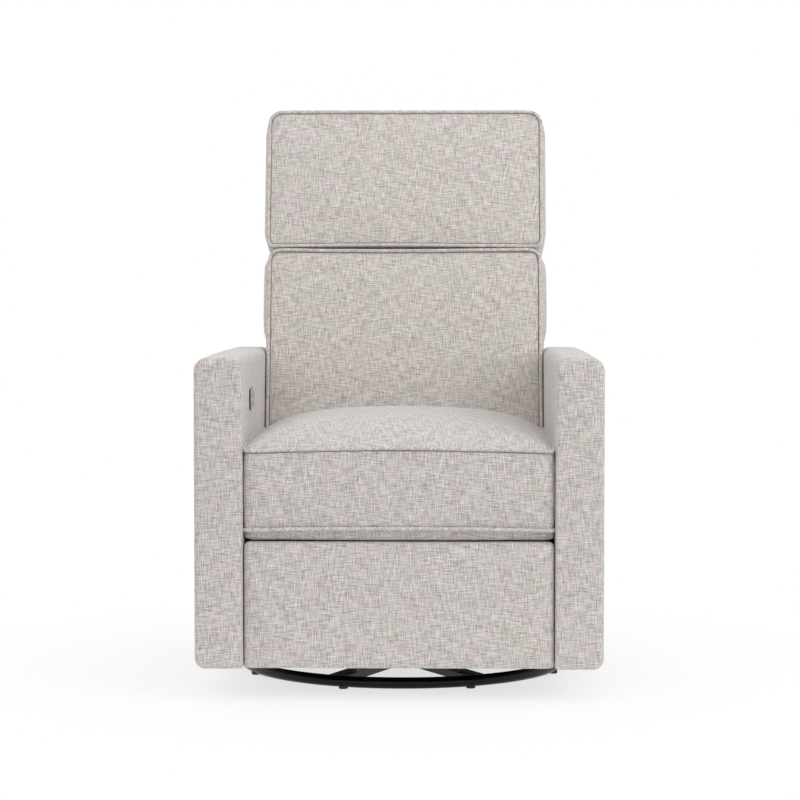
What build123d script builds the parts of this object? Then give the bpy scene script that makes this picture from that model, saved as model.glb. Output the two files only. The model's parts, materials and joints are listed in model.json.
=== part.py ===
from build123d import *
import os
from math import atan2, cos, degrees, hypot, radians, sin

# A swivel glider recliner: a padded chair on a ring base that turns, swings on four links,
# leans back, tips its headrest forward and lifts a leg rest out of the space below the seat.
# Millimetres. +X is to the right as seen from the front, the chair faces -Y, +Z is up.
# The origin is on the floor, on the swivel axis.

# Overall
WIDTH = 760.0
FRONT_Y = -450.0

# Base ring and swivel
RING_R = 320.0
RING_TUBE_R = 11.0
FOOT_HEIGHT = 3.0
FOOT_R = 9.0
FOOT_CUP = 3.0
FOOT_COUNT = 8
BASE_TURN = 2.5
CROSS_ARM_WIDTH = 40.0
CROSS_ARM_HEIGHT = 14.0
CROSS_ARM_ANGLE = 26.5
CROSS_ARM_START = 50.0
RACE_R = 88.0
RACE_T = 6.0
BALL_R = 4.0
BALL_CIRCLE_R = 72.0
BALL_COUNT = 12
BALL_CLEARANCE = 0.05
RACE_GAP = 5.2
CAGE_T = 2.0
CAGE_WIDTH = 18.0
CAGE_CLEARANCE = 0.3
KING_R = 8.0
KING_HEAD_R = 14.0
KING_HEAD_T = 9.0
NUT_T = 9.0
TOP_PLATE_X = 90.0
TOP_PLATE_Y = 165.0
TOP_PLATE_T = 5.0
PIN_CLEARANCE = 0.08

# Glide frame
GLIDE_Y = 130.0
GLIDE_UPPER_Z = 215.0
GLIDE_LENGTH = 130.0
BEAM_DEPTH = 60.0
BEAM_HEIGHT = 20.0
BEAM_WALL = 3.0
UPRIGHT_T = 4.0
UPRIGHT_TOP_R = 16.0
LINK_T = 6.0
LINK_WIDTH = 32.0
GLIDE_PIN_R = 6.0
GLIDE_HEAD_R = 10.0
GLIDE_HEAD_T = 3.0
SIDE_GAP = 0.5

# Seat mechanism
SOFT_GAP = 0.3
SEAT_RAIL_T = 26.0
SEAT_RAIL_Z = 215.0
SEAT_RAIL_FRONT_Y = -385.0
SEAT_RAIL_REAR_Y = 46.0
DECK_Z = 302.0
PLATE_T = 3.0
PLATE_FRONT_Y = -322.0
PLATE_LOW_Z = 68.0
PLATE_HOLE_R = 30.0
PLATE_HOLE_Y = 62.0
PLATE_EAR_R = 19.0
CROSS_TUBE_R = 12.5
CROSS_TUBE_WALL = 2.0
MID_TUBE_Z = 150.0
REAR_TUBE_Y = 190.0
REAR_TUBE_Z = 258.0
FRONT_RAIL_Y = -380.0
FRONT_RAIL_DEPTH = 30.0
CROSS_RAIL_HEIGHT = 47.0
TONGUE_HEIGHT = 13.0
CROSS_RAIL_SETBACK = 22.0
REAR_RAIL_DEPTH = 20.0
WEB_T = 1.5
WEB_WIDTH = 50.0
WEB_COUNT = 6

# Leg-rest linkage, in side view (y, z), folded under the seat
SWING_PIVOT = (-300.0, 262.0)
SWING_LENGTH = 170.0
SWING_TAIL = 35.0
SWING_ANGLE = 22.0
PANEL_PIVOT = (-376.0, 275.0)
STEER_OFFSET = 62.0
BAR_WIDTH = 16.0
BAR_T = 3.0
RIVET_R = 4.0
TORQUE_TUBE_R = 12.5
TORQUE_TUBE_WALL = 2.0
CRANK_R = 40.0
CRANK_REST_ANGLE = 45.0
CRANK_WEB_T = 4.0
CRANK_WEB_WIDTH = 18.0
CRANK_PIN_R = 5.0
YOKE_HALF_T = 5.0
YOKE_WALL = 8.0
YOKE_PLAY = 1.6
YOKE_RISE = 6.0

# Actuators
ROD_R = 8.0
ROD_LENGTH = 190.0
ACTUATOR_R = 15.0
LEG_ROD_Z = 228.0
BACK_ROD_Z = 232.0
ACTUATOR_GAP = 8.0
LEG_TUBE_END_Y = -205.0
BACK_TUBE_END_Y = 178.0
GEARBOX_LENGTH = 46.0
GEARBOX_HALF_X = 24.0
GEARBOX_RISE = 19.0
MOTOR_R = 20.0
MOTOR_LENGTH = 34.0

# Leg-rest panel
PANEL_SIDE_GAP = 3.0
PANEL_LOW_Z = 61.0
PANEL_TOP_Z = 297.0
PANEL_CUSHION_T = 46.0
PANEL_CROWN = 7.0
BOARD_T = 12.0
BOARD_INSET = 8.0
BRACKET_WIDTH = 22.0
BRACKET_LOW_Z = 225.0
BRACKET_TOP_Z = 284.0

# Seat cushion
SEAT_SIDE_GAP = 2.5
SEAT_WELT_Z = 466.0
SEAT_CROWN = 70.0
SEAT_FRONT_BULGE = 6.0
SEAT_TO_BACK = 4.0

# Arms
ARM_WIDTH = 91.0
ARM_TOP_Z = 637.0
ARM_LOW_Z = 60.0
ARM_REAR_Y = 282.0
ARM_TOP_R = 20.0
ARM_BOTTOM_R = 14.0
ARM_FRONT_R = 11.0
ARM_WALL = 18.0
ARM_POST = 42.0
ARM_FRAME_RISE = 4.0
ARM_MID_RAIL_Z = 260.0
BOLT_R = 4.0
BOLT_HEAD_R = 8.0
BOLT_HEAD_T = 4.0
BOLT_GRIP = 30.0
BOLT_YS = (-150.0, -40.0)
REAR_PANEL_T = 10.0
REAR_PANEL_TOP_Z = 278.0
INLET_R = 12.0
INLET_BORE_R = 3.0
INLET_DEPTH = 18.0
INLET_X = 150.0
INLET_Z = 140.0

# Control panel on the inner face of the sitter's right arm
CONTROL_Y = -255.0
CONTROL_Z = 555.0
CONTROL_LENGTH = 80.0
CONTROL_HEIGHT = 40.0
CONTROL_PROUD = 2.5
CONTROL_DEPTH = 14.0
CONTROL_CORNER_R = 8.0
BUTTON_LENGTH = 14.0
BUTTON_HEIGHT = 11.0
BUTTON_CORNER_R = 3.0
BUTTON_PROUD = 1.8
BUTTON_TRAVEL = 1.5
BUTTON_PITCH_Y = 30.0
BUTTON_PITCH_Z = 17.0

# Back, in its own frame: x across, v towards the rear, w up the back from the hinge
HINGE_Y = 235.0
HINGE_Z = 290.0
BACK_LEAN = 14.0
BACK_FRONT_V = -191.0
BACK_LOW_W = 20.0
BACK_TOP_W = 530.0
BACK_SIDE_GAP = 3.0
SHOULDER_OVERHANG = 8.0
BACK_TOP_INSET = 6.0
BACK_WAIST_W = 348.0
BACK_SHOULDER_W = 392.0
BACK_CROWN = 14.0
POST_FRONT_V = -37.0
POST_DEPTH = 32.0
POST_WIDTH = 35.0
POST_SIDE_GAP = 9.7
FRAME_RAIL_HEIGHT = 46.0
COVER_REAR_V = 13.0
COVER_WALL = 6.0
COVER_SIDE_GAP = 9.0
BRACKET_T = 4.0
BACK_BRACKET_R = 17.0
BACK_BRACKET_HEIGHT = 150.0
BACK_NECK_WIDTH = 24.0
HINGE_PIN_R = 8.0
BACK_CRANK_R = 60.0
BACK_CRANK_ANGLE = 20.0

# Headrest, in the same frame as the back
HEAD_LOW_W = 536.0
HEAD_TOP_W = 847.0
HEAD_OVERHANG = 10.0
HEAD_END_INSET = 5.0
HEAD_ROUND_R = 22.0
HEAD_TOP_R = 34.0
HEAD_CROWN = 12.0
HEAD_ARM_INSET = 50.0
HEAD_ARM_T = 4.0
HEAD_ARM_WIDTH = 20.0
HEAD_PIN_R = 5.0
HEAD_BOARD_T = 15.0
HEAD_BOARD_V = -40.0
HEAD_BOARD_INSET = 10.0
HEAD_BOARD_HEIGHT = 220.0

nodes = {}


def keep(name, *solids):
    """Hold the solids of one named piece."""
    nodes[name] = list(solids)


def both_sides(solid):
    """A solid and its mirror image across the middle of the chair."""
    return [solid, mirror(solid, about=Plane.YZ)]


def plate(outline, x_low, x_high):
    """A flat plate from an outline in side view (y, z), between two x positions."""
    return extrude(Plane.YZ.offset(x_low) * outline, amount=x_high - x_low)


def rod_x(y, z, radius, x_low, x_high):
    """A round bar along X."""
    return plate(Pos(y, z) * Circle(radius), x_low, x_high)


def rod_y(x, z, radius, y_low, y_high):
    """A round bar along Y."""
    middle = Pos(x, (y_low + y_high) / 2, z)
    return middle * Rot(90, 0, 0) * Cylinder(radius, y_high - y_low)


def rod_z(x, y, radius, z_low, z_high):
    """A round bar along Z."""
    return Pos(x, y, (z_low + z_high) / 2) * Cylinder(radius, z_high - z_low)


def block(x, y, z):
    """A box from three (low, high) pairs."""
    size = [pair[1] - pair[0] for pair in (x, y, z)]
    return Pos(*[(pair[0] + pair[1]) / 2 for pair in (x, y, z)]) * Box(*size)


def bar_outline(start, end, width):
    """The side view of a flat bar with round ends, between two pivots."""
    turn = degrees(atan2(end[1] - start[1], end[0] - start[0]))
    middle = ((start[0] + end[0]) / 2, (start[1] + end[1]) / 2)
    length = hypot(end[0] - start[0], end[1] - start[1])
    return Pos(*middle) * Rot(0, 0, turn) * SlotCenterToCenter(length, width)


def along(start, direction, distance):
    """The point at a distance from a start along a direction."""
    return (start[0] + direction[0] * distance, start[1] + direction[1] * distance)


def soft_form(stations, section):
    """A padded form: side-view sections at several x positions, joined by a smooth loft."""
    return loft([Plane.YZ.offset(x) * make_face(section(x)) for x in stations])


# Positions across the chair, worked inwards from the arm
arm_in = WIDTH / 2 - ARM_WIDTH
arm_out = WIDTH / 2
rail_out = arm_in - SOFT_GAP
plate_out = rail_out - SEAT_RAIL_T
plate_in = plate_out - PLATE_T
panel_half = arm_in - PANEL_SIDE_GAP
seat_half = arm_in - SEAT_SIDE_GAP
back_low_half = arm_in - BACK_SIDE_GAP
back_high_half = arm_in + SHOULDER_OVERHANG
back_top_half = back_high_half - BACK_TOP_INSET
cover_half = arm_in - COVER_SIDE_GAP
post_out = plate_in - POST_SIDE_GAP
head_half = arm_in + HEAD_OVERHANG
head_end_half = head_half - HEAD_END_INSET
head_arm_x = post_out - HEAD_ARM_INSET
head_board_half = post_out - HEAD_BOARD_INSET
layers = []
for layer in range(3):
    layer_out = plate_in - SIDE_GAP - layer * (BAR_T + SIDE_GAP)
    layers.append((layer_out - BAR_T, layer_out))
guide_layer, swing_layer, fold_layer = layers
link_out = fold_layer[0] - GLIDE_HEAD_T - SIDE_GAP
link_in = link_out - LINK_T
upright_out = link_in - GLIDE_HEAD_T - 2 * SIDE_GAP
upright_in = upright_out - UPRIGHT_T

# Heights of the base and swivel
ring_z = FOOT_HEIGHT + RING_TUBE_R
race_low = ring_z + CROSS_ARM_HEIGHT / 2
race_top = race_low + RACE_T
ball_z = race_top + RACE_GAP / 2
top_plate_low = race_top + RACE_GAP
top_plate_top = top_plate_low + TOP_PLATE_T
glide_lower_z = GLIDE_UPPER_Z - GLIDE_LENGTH

# Leg-rest pivots when folded
bar_direction = (sin(radians(SWING_ANGLE)), -cos(radians(SWING_ANGLE)))
fold_pivot = along(SWING_PIVOT, bar_direction, SWING_LENGTH)
guide_pivot = along(SWING_PIVOT, bar_direction, SWING_LENGTH + SWING_TAIL)
fold_length = hypot(PANEL_PIVOT[0] - fold_pivot[0], PANEL_PIVOT[1] - fold_pivot[1])
fold_direction = (
    (PANEL_PIVOT[0] - fold_pivot[0]) / fold_length,
    (PANEL_PIVOT[1] - fold_pivot[1]) / fold_length,
)
bracket_pivot = along(PANEL_PIVOT, bar_direction, SWING_TAIL)
steer_pivot = along(SWING_PIVOT, fold_direction, -STEER_OFFSET)
steer_end = along(fold_pivot, fold_direction, -STEER_OFFSET)
board_front_y = FRONT_Y + PANEL_CUSHION_T
board_rear_y = board_front_y + BOARD_T

# The back's own frame
back_frame_plane = Plane(
    origin=(0, HINGE_Y, HINGE_Z),
    x_dir=(1, 0, 0),
    z_dir=(0, sin(radians(BACK_LEAN)), cos(radians(BACK_LEAN))),
)


def on_back(solid):
    """Place a piece that was modelled upright about the hinge onto the leaning back."""
    return back_frame_plane * solid


def crank_pin(pivot, radius, angle):
    """Where a crank pin stands in side view, its arm hanging down and turned to the rear."""
    return along(pivot, (sin(radians(angle)), -cos(radians(angle))), radius)


def make_base():
    """Ring tube, cross arms, feet, lower race and king bolt."""
    ring = Pos(0, 0, ring_z) * Torus(RING_R, RING_TUBE_R)
    keep("base_ring", ring)

    feet = []
    for index in range(FOOT_COUNT):
        angle = 360 / FOOT_COUNT * (index + 0.5) + BASE_TURN
        foot = rod_z(0, -RING_R, FOOT_R, 0, FOOT_HEIGHT + FOOT_CUP)
        low_rim = foot.edges().group_by(Axis.Z)[0]
        foot = fillet(low_rim, FOOT_HEIGHT / 3)
        feet.append(Rot(0, 0, angle) * (foot - ring))
    keep("floor_glides", *feet)

    arms = []
    for side in (-1, 1):
        for end in (0, 180):
            arm = block(
                (-CROSS_ARM_WIDTH / 2, CROSS_ARM_WIDTH / 2),
                (-RING_R, -CROSS_ARM_START),
                (ring_z - CROSS_ARM_HEIGHT / 2, race_low),
            )
            hollow = block(
                (-CROSS_ARM_WIDTH / 2 + BEAM_WALL, CROSS_ARM_WIDTH / 2 - BEAM_WALL),
                (-RING_R, -CROSS_ARM_START),
                (ring_z - CROSS_ARM_HEIGHT / 2, race_low - BEAM_WALL),
            )
            angle = side * CROSS_ARM_ANGLE + end + BASE_TURN
            outer_end = (arm - hollow - ring).solids().sort_by(SortBy.VOLUME)[-1]
            arms.append(Rot(0, 0, angle) * outer_end)
    keep("base_cross_arms", *arms)

    groove = Pos(0, 0, ball_z) * Torus(BALL_CIRCLE_R, BALL_R + BALL_CLEARANCE)
    race = rod_z(0, 0, RACE_R, race_low, race_top)
    race -= rod_z(0, 0, KING_R + PIN_CLEARANCE, race_low, race_top)
    keep("swivel_lower_race", race - groove)

    nut_low = top_plate_top + SIDE_GAP
    shank = rod_z(0, 0, KING_R, race_low, nut_low + NUT_T)
    head = extrude(Pos(0, 0, race_low - KING_HEAD_T) * RegularPolygon(KING_HEAD_R, 6), amount=KING_HEAD_T)
    nut = extrude(Pos(0, 0, nut_low) * RegularPolygon(KING_HEAD_R, 6), amount=NUT_T)
    keep("swivel_kingbolt", shank + head + nut)
    return groove


def make_ball_ring():
    """Balls between the two races, spaced by a flat cage."""
    cage = rod_z(0, 0, BALL_CIRCLE_R + CAGE_WIDTH / 2, ball_z - CAGE_T / 2, ball_z + CAGE_T / 2)
    cage -= rod_z(0, 0, BALL_CIRCLE_R - CAGE_WIDTH / 2, ball_z - CAGE_T / 2, ball_z + CAGE_T / 2)
    balls = []
    for place in PolarLocations(BALL_CIRCLE_R, BALL_COUNT):
        ball_place = Pos(0, 0, ball_z) * place
        balls.append(ball_place * Sphere(BALL_R))
        cage -= ball_place * Cylinder(BALL_R + CAGE_CLEARANCE, CAGE_T)
    keep("swivel_balls", *balls)
    keep("swivel_ball_cage", cage)


def make_turntable(groove):
    """Top plate of the swivel, two beams across it and the uprights of the glide."""
    top = block((-TOP_PLATE_X, TOP_PLATE_X), (-TOP_PLATE_Y, TOP_PLATE_Y), (top_plate_low, top_plate_top))
    top -= rod_z(0, 0, KING_R + PIN_CLEARANCE, top_plate_low, top_plate_top)
    keep("swivel_top_plate", top - groove)

    beam_top = top_plate_top + BEAM_HEIGHT
    for name, y in (("glide_front_beam", -GLIDE_Y), ("glide_rear_beam", GLIDE_Y)):
        half = BEAM_DEPTH / 2
        beam = block((-upright_in, upright_in), (y - half, y + half), (top_plate_top, beam_top))
        beam -= block(
            (-upright_in, upright_in),
            (y - half + BEAM_WALL, y + half - BEAM_WALL),
            (top_plate_top, beam_top - BEAM_WALL),
        )
        keep(name, beam)

    uprights = []
    pins = []
    for y in (-GLIDE_Y, GLIDE_Y):
        foot = Pos(y, top_plate_top + BEAM_HEIGHT / 2) * Rectangle(BEAM_DEPTH, BEAM_HEIGHT)
        head = Pos(y, GLIDE_UPPER_Z) * Circle(UPRIGHT_TOP_R)
        outline = make_hull((foot + head).edges())
        outline -= Pos(y, GLIDE_UPPER_Z) * Circle(GLIDE_PIN_R)
        uprights += both_sides(plate(outline, upright_in, upright_out))
        shank = rod_x(y, GLIDE_UPPER_Z, GLIDE_PIN_R, upright_in, link_out + SIDE_GAP)
        collar = rod_x(y, GLIDE_UPPER_Z, GLIDE_HEAD_R, upright_out, link_in - SIDE_GAP)
        head = rod_x(y, GLIDE_UPPER_Z, GLIDE_HEAD_R, link_out + SIDE_GAP, fold_layer[0])
        pins += both_sides(shank + collar + head)
    keep("glide_uprights", *uprights)
    keep("glide_upper_pins", *pins)


def make_swing_links():
    """Four flat links that the seat hangs from."""
    for name, y in (("front_swing_links", -GLIDE_Y), ("rear_swing_links", GLIDE_Y)):
        outline = bar_outline((y, GLIDE_UPPER_Z), (y, glide_lower_z), LINK_WIDTH)
        for z in (GLIDE_UPPER_Z, glide_lower_z):
            outline -= Pos(y, z) * Circle(GLIDE_PIN_R + PIN_CLEARANCE)
        keep(name, *both_sides(plate(outline, link_in, link_out)))


def make_side_plates():
    """Steel side plates, their cross tubes and the pins that stand on them."""
    low_front = (-GLIDE_Y - LINK_WIDTH / 2, PLATE_LOW_Z)
    low_rear = (GLIDE_Y + LINK_WIDTH / 2, PLATE_LOW_Z)
    corners = Polyline(
        (PLATE_FRONT_Y, SWING_PIVOT[1] - PLATE_EAR_R),
        (PLATE_FRONT_Y, DECK_Z - TONGUE_HEIGHT),
        (HINGE_Y - 2 * PLATE_EAR_R, DECK_Z - TONGUE_HEIGHT),
        (HINGE_Y, HINGE_Z + PLATE_EAR_R),
        (HINGE_Y + PLATE_EAR_R, HINGE_Z),
        low_rear,
        low_front,
        (steer_pivot[0], steer_pivot[1] - PLATE_EAR_R),
        close=True,
    )
    outline = make_face(corners)
    ear_side = 2 * PLATE_EAR_R
    ear_corner = Pos(HINGE_Y + PLATE_EAR_R, HINGE_Z + PLATE_EAR_R) * Rectangle(ear_side, ear_side)
    outline = outline - ear_corner + Pos(HINGE_Y, HINGE_Z) * Circle(PLATE_EAR_R)
    for y in (-PLATE_HOLE_Y, PLATE_HOLE_Y):
        outline -= Pos(y, MID_TUBE_Z) * Circle(PLATE_HOLE_R)
    for y in (-GLIDE_Y, GLIDE_Y):
        outline -= Pos(y, glide_lower_z) * Circle(GLIDE_PIN_R)
    for pivot in (SWING_PIVOT, steer_pivot):
        outline -= Pos(*pivot) * Circle(CRANK_PIN_R)
    outline -= Pos(HINGE_Y, HINGE_Z) * Circle(HINGE_PIN_R)
    for y in BOLT_YS:
        outline -= Pos(y, ARM_MID_RAIL_Z) * Circle(BOLT_R)
    right = plate(outline, plate_in, plate_out)
    keep("side_plate_right", right)
    keep("side_plate_left", mirror(right, about=Plane.YZ))

    tubes = []
    for y, z in ((0, MID_TUBE_Z), (REAR_TUBE_Y, REAR_TUBE_Z)):
        wall = Circle(CROSS_TUBE_R) - Circle(CROSS_TUBE_R - CROSS_TUBE_WALL)
        tubes.append(plate(Pos(y, z) * wall, -plate_in, plate_in))
    keep("cross_tubes", *tubes)

    lower_pins = []
    for y in (-GLIDE_Y, GLIDE_Y):
        pin = rod_x(y, glide_lower_z, GLIDE_PIN_R, link_in - SIDE_GAP, plate_out)
        pin += rod_x(y, glide_lower_z, GLIDE_HEAD_R, link_out + SIDE_GAP, plate_in)
        pin += rod_x(y, glide_lower_z, GLIDE_HEAD_R, upright_out + SIDE_GAP, link_in - SIDE_GAP)
        lower_pins += both_sides(pin)
    keep("glide_lower_pins", *lower_pins)

    leg_pins = []
    for pivot in (SWING_PIVOT, steer_pivot):
        pin = rod_x(*pivot, CRANK_PIN_R, swing_layer[0], plate_out)
        pin += rod_x(*pivot, BAR_WIDTH / 2, swing_layer[1] + SIDE_GAP, plate_in)
        leg_pins += both_sides(pin)
    keep("legrest_pivot_pins", *leg_pins)

    hinge = rod_x(HINGE_Y, HINGE_Z, HINGE_PIN_R, post_out, plate_out)
    hinge += rod_x(HINGE_Y, HINGE_Z, HINGE_PIN_R * 1.5, post_out + BRACKET_T + SIDE_GAP, plate_in)
    keep("back_hinge_pins", *both_sides(hinge))


def make_seat_frame():
    """Wooden rails and the webbing stretched over them."""
    rail = block((plate_out, rail_out), (SEAT_RAIL_FRONT_Y, SEAT_RAIL_REAR_Y), (SEAT_RAIL_Z, DECK_Z))
    for y in BOLT_YS:
        rail -= rod_x(y, ARM_MID_RAIL_Z, BOLT_R, plate_out, rail_out)
    keep("seat_rail_right", rail)
    keep("seat_rail_left", mirror(rail, about=Plane.YZ))

    inner = plate_out - CROSS_RAIL_SETBACK
    low = DECK_Z - CROSS_RAIL_HEIGHT
    cross_rails = []
    front_span = (FRONT_RAIL_Y, FRONT_RAIL_Y + FRONT_RAIL_DEPTH)
    rear_span = (SEAT_RAIL_REAR_Y - REAR_RAIL_DEPTH, SEAT_RAIL_REAR_Y)
    for span in (front_span, rear_span):
        rail = block((-inner, inner), span, (low, DECK_Z))
        rail += block((-plate_out, plate_out), span, (DECK_Z - TONGUE_HEIGHT, DECK_Z))
        cross_rails.append(rail)
    keep("seat_cross_rails", *cross_rails)

    straps = []
    first = FRONT_RAIL_Y + WEB_WIDTH / 2
    pitch = (SEAT_RAIL_REAR_Y - WEB_WIDTH / 2 - first) / (WEB_COUNT - 1)
    for index in range(WEB_COUNT):
        y = first + index * pitch
        strap = block(
            (-rail_out, rail_out),
            (y - WEB_WIDTH / 2, y + WEB_WIDTH / 2),
            (DECK_Z, DECK_Z + WEB_T),
        )
        straps.append(strap)
    keep("seat_webbing", *straps)


def make_seat_cushion():
    """A crowned box cushion whose rear face leans with the back."""
    low_z = DECK_Z + WEB_T + SOFT_GAP
    lean = radians(BACK_LEAN)
    rear_v = BACK_FRONT_V - SEAT_TO_BACK

    def rear_point(z):
        w = (z - HINGE_Z + rear_v * sin(lean)) / cos(lean)
        return (HINGE_Y + rear_v * cos(lean) + w * sin(lean), z)

    def section(x):
        fullness = 1 - (x / seat_half) ** 2
        crown = SEAT_CROWN * (0.08 + 0.92 * fullness ** 0.6)
        front_y = FRONT_Y + SEAT_FRONT_BULGE * (1 - fullness)
        front_low = (front_y + SEAT_FRONT_BULGE, low_z)
        front_top = (front_y + SEAT_FRONT_BULGE, SEAT_WELT_Z)
        front_middle = (front_y, (low_z + SEAT_WELT_Z) / 2)
        rear_low = rear_point(low_z)
        rear_top = rear_point(SEAT_WELT_Z)
        crown_point = ((front_top[0] + rear_top[0]) / 2, SEAT_WELT_Z + crown)
        return [
            Line(front_low, rear_low),
            Line(rear_low, rear_top),
            ThreePointArc(rear_top, crown_point, front_top),
            ThreePointArc(front_top, front_middle, front_low),
        ]

    end = seat_half
    stations = [-end, -0.8 * end, -0.4 * end, 0.4 * end, 0.8 * end, end]
    keep("seat_cushion", soft_form(stations, section))


def make_arms():
    """Two padded arms, each a fabric-covered shell over a wooden ladder frame."""
    low_corner = Pos((arm_in + arm_out) / 2, (ARM_LOW_Z + ARM_TOP_Z) / 2)
    outline = low_corner * Rectangle(ARM_WIDTH, ARM_TOP_Z - ARM_LOW_Z)
    top_points = outline.vertices().group_by(Axis.Y)[-1]
    outline = fillet(top_points, ARM_TOP_R)
    low_points = outline.vertices().group_by(Axis.Y)[0]
    outline = fillet(low_points, ARM_BOTTOM_R)
    shell = extrude(Plane.XZ.offset(-ARM_REAR_Y) * outline, amount=ARM_REAR_Y - FRONT_Y)
    for end in (0, -1):
        shell = fillet(shell.faces().sort_by(Axis.Y)[end].edges(), ARM_FRONT_R)

    inside_x = (arm_in + ARM_WALL, arm_out - ARM_WALL)
    inside_y = (FRONT_Y + ARM_WALL, ARM_REAR_Y - ARM_WALL)
    inside_z = (ARM_LOW_Z + ARM_FRAME_RISE, ARM_TOP_Z - ARM_WALL)
    shell -= block(inside_x, inside_y, (ARM_LOW_Z, inside_z[1]))
    bolt_end = inside_x[0] + BOLT_GRIP
    bolt_head = plate_in - BOLT_HEAD_T

    mid = (ARM_MID_RAIL_Z - ARM_POST / 2, ARM_MID_RAIL_Z + ARM_POST / 2)
    between = (inside_y[0] + ARM_POST, inside_y[1] - ARM_POST)
    pieces = [
        block(inside_x, inside_y, (inside_z[0], inside_z[0] + ARM_POST)),
        block(inside_x, inside_y, (inside_z[1] - ARM_POST, inside_z[1])),
        block(inside_x, (inside_y[0], between[0]), (inside_z[0] + ARM_POST, inside_z[1] - ARM_POST)),
        block(inside_x, (between[1], inside_y[1]), (inside_z[0] + ARM_POST, inside_z[1] - ARM_POST)),
        block(inside_x, between, mid),
    ]
    bolts = []
    for y in BOLT_YS:
        shank = rod_x(y, ARM_MID_RAIL_Z, BOLT_R, bolt_head, bolt_end)
        shell -= shank
        pieces[4] -= shank
        bolts += both_sides(shank + rod_x(y, ARM_MID_RAIL_Z, BOLT_HEAD_R, bolt_head, plate_in))

    left_shell = mirror(shell, about=Plane.YZ)
    left_shell -= control_body(SOFT_GAP)
    keep("arm_cover_right", shell)
    keep("arm_cover_left", left_shell)
    keep("arm_frame_right", *pieces)
    keep("arm_frame_left", *[mirror(piece, about=Plane.YZ) for piece in pieces])
    keep("arm_bolts", *bolts)


def rounded_block(length, height, corner, x_low, x_high, y, z):
    """A block with round corners in side view."""
    return plate(Pos(y, z) * RectangleRounded(length, height, corner), x_low, x_high)


def control_body(clearance):
    """The part of the control housing that is sunk in the arm, with room round it."""
    return rounded_block(
        CONTROL_LENGTH - 2 * CONTROL_PROUD + 2 * clearance,
        CONTROL_HEIGHT - 2 * CONTROL_PROUD + 2 * clearance,
        CONTROL_CORNER_R,
        -arm_in - CONTROL_DEPTH - clearance,
        -arm_in,
        CONTROL_Y,
        CONTROL_Z,
    )


def make_controls():
    """A slim control panel in the arm, with four push buttons."""
    face_x = -arm_in + CONTROL_PROUD
    rim = rounded_block(
        CONTROL_LENGTH,
        CONTROL_HEIGHT,
        CONTROL_CORNER_R,
        -arm_in,
        face_x,
        CONTROL_Y,
        CONTROL_Z,
    )
    housing = rim + control_body(0)
    button_back = face_x - CONTROL_DEPTH + BUTTON_TRAVEL
    names = (
        ("legrest_raise_button", -1, 1),
        ("legrest_lower_button", -1, -1),
        ("back_raise_button", 1, 1),
        ("back_lower_button", 1, -1),
    )
    for name, column, row in names:
        y = CONTROL_Y + column * BUTTON_PITCH_Y / 2
        z = CONTROL_Z + row * BUTTON_PITCH_Z / 2
        button = rounded_block(
            BUTTON_LENGTH,
            BUTTON_HEIGHT,
            BUTTON_CORNER_R,
            button_back,
            face_x + BUTTON_PROUD,
            y,
            z,
        )
        housing -= rounded_block(
            BUTTON_LENGTH + 2 * SOFT_GAP,
            BUTTON_HEIGHT + 2 * SOFT_GAP,
            BUTTON_CORNER_R + SOFT_GAP,
            button_back - BUTTON_TRAVEL - SOFT_GAP,
            face_x,
            y,
            z,
        )
        keep(name, button)
    keep("control_housing", housing)


def make_rear_panel():
    """The low panel between the arms at the rear, with the power inlet."""
    half = arm_in - SOFT_GAP
    panel = block((-half, half), (ARM_REAR_Y - REAR_PANEL_T, ARM_REAR_Y), (ARM_LOW_Z, REAR_PANEL_TOP_Z))
    panel -= rod_y(INLET_X, INLET_Z, INLET_R, ARM_REAR_Y - REAR_PANEL_T, ARM_REAR_Y)
    keep("rear_panel", panel)
    inlet = rod_y(INLET_X, INLET_Z, INLET_R, ARM_REAR_Y - INLET_DEPTH, ARM_REAR_Y)
    inlet -= rod_y(INLET_X, INLET_Z, INLET_BORE_R, ARM_REAR_Y - INLET_DEPTH + BEAM_WALL, ARM_REAR_Y)
    keep("power_inlet", inlet)


def slotted_yoke(y, z):
    """The end of an actuator rod: a block with an upright slot for a crank pin."""
    slot_half = CRANK_PIN_R + YOKE_PLAY
    height = 2 * (YOKE_RISE + slot_half + YOKE_WALL)
    length = 2 * (slot_half + YOKE_WALL)
    outline = RectangleRounded(length, height, YOKE_WALL)
    outline -= Rot(0, 0, 90) * SlotCenterToCenter(2 * YOKE_RISE, 2 * slot_half)
    return plate(Pos(y, z) * outline, -YOKE_HALF_T, YOKE_HALF_T)


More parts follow.
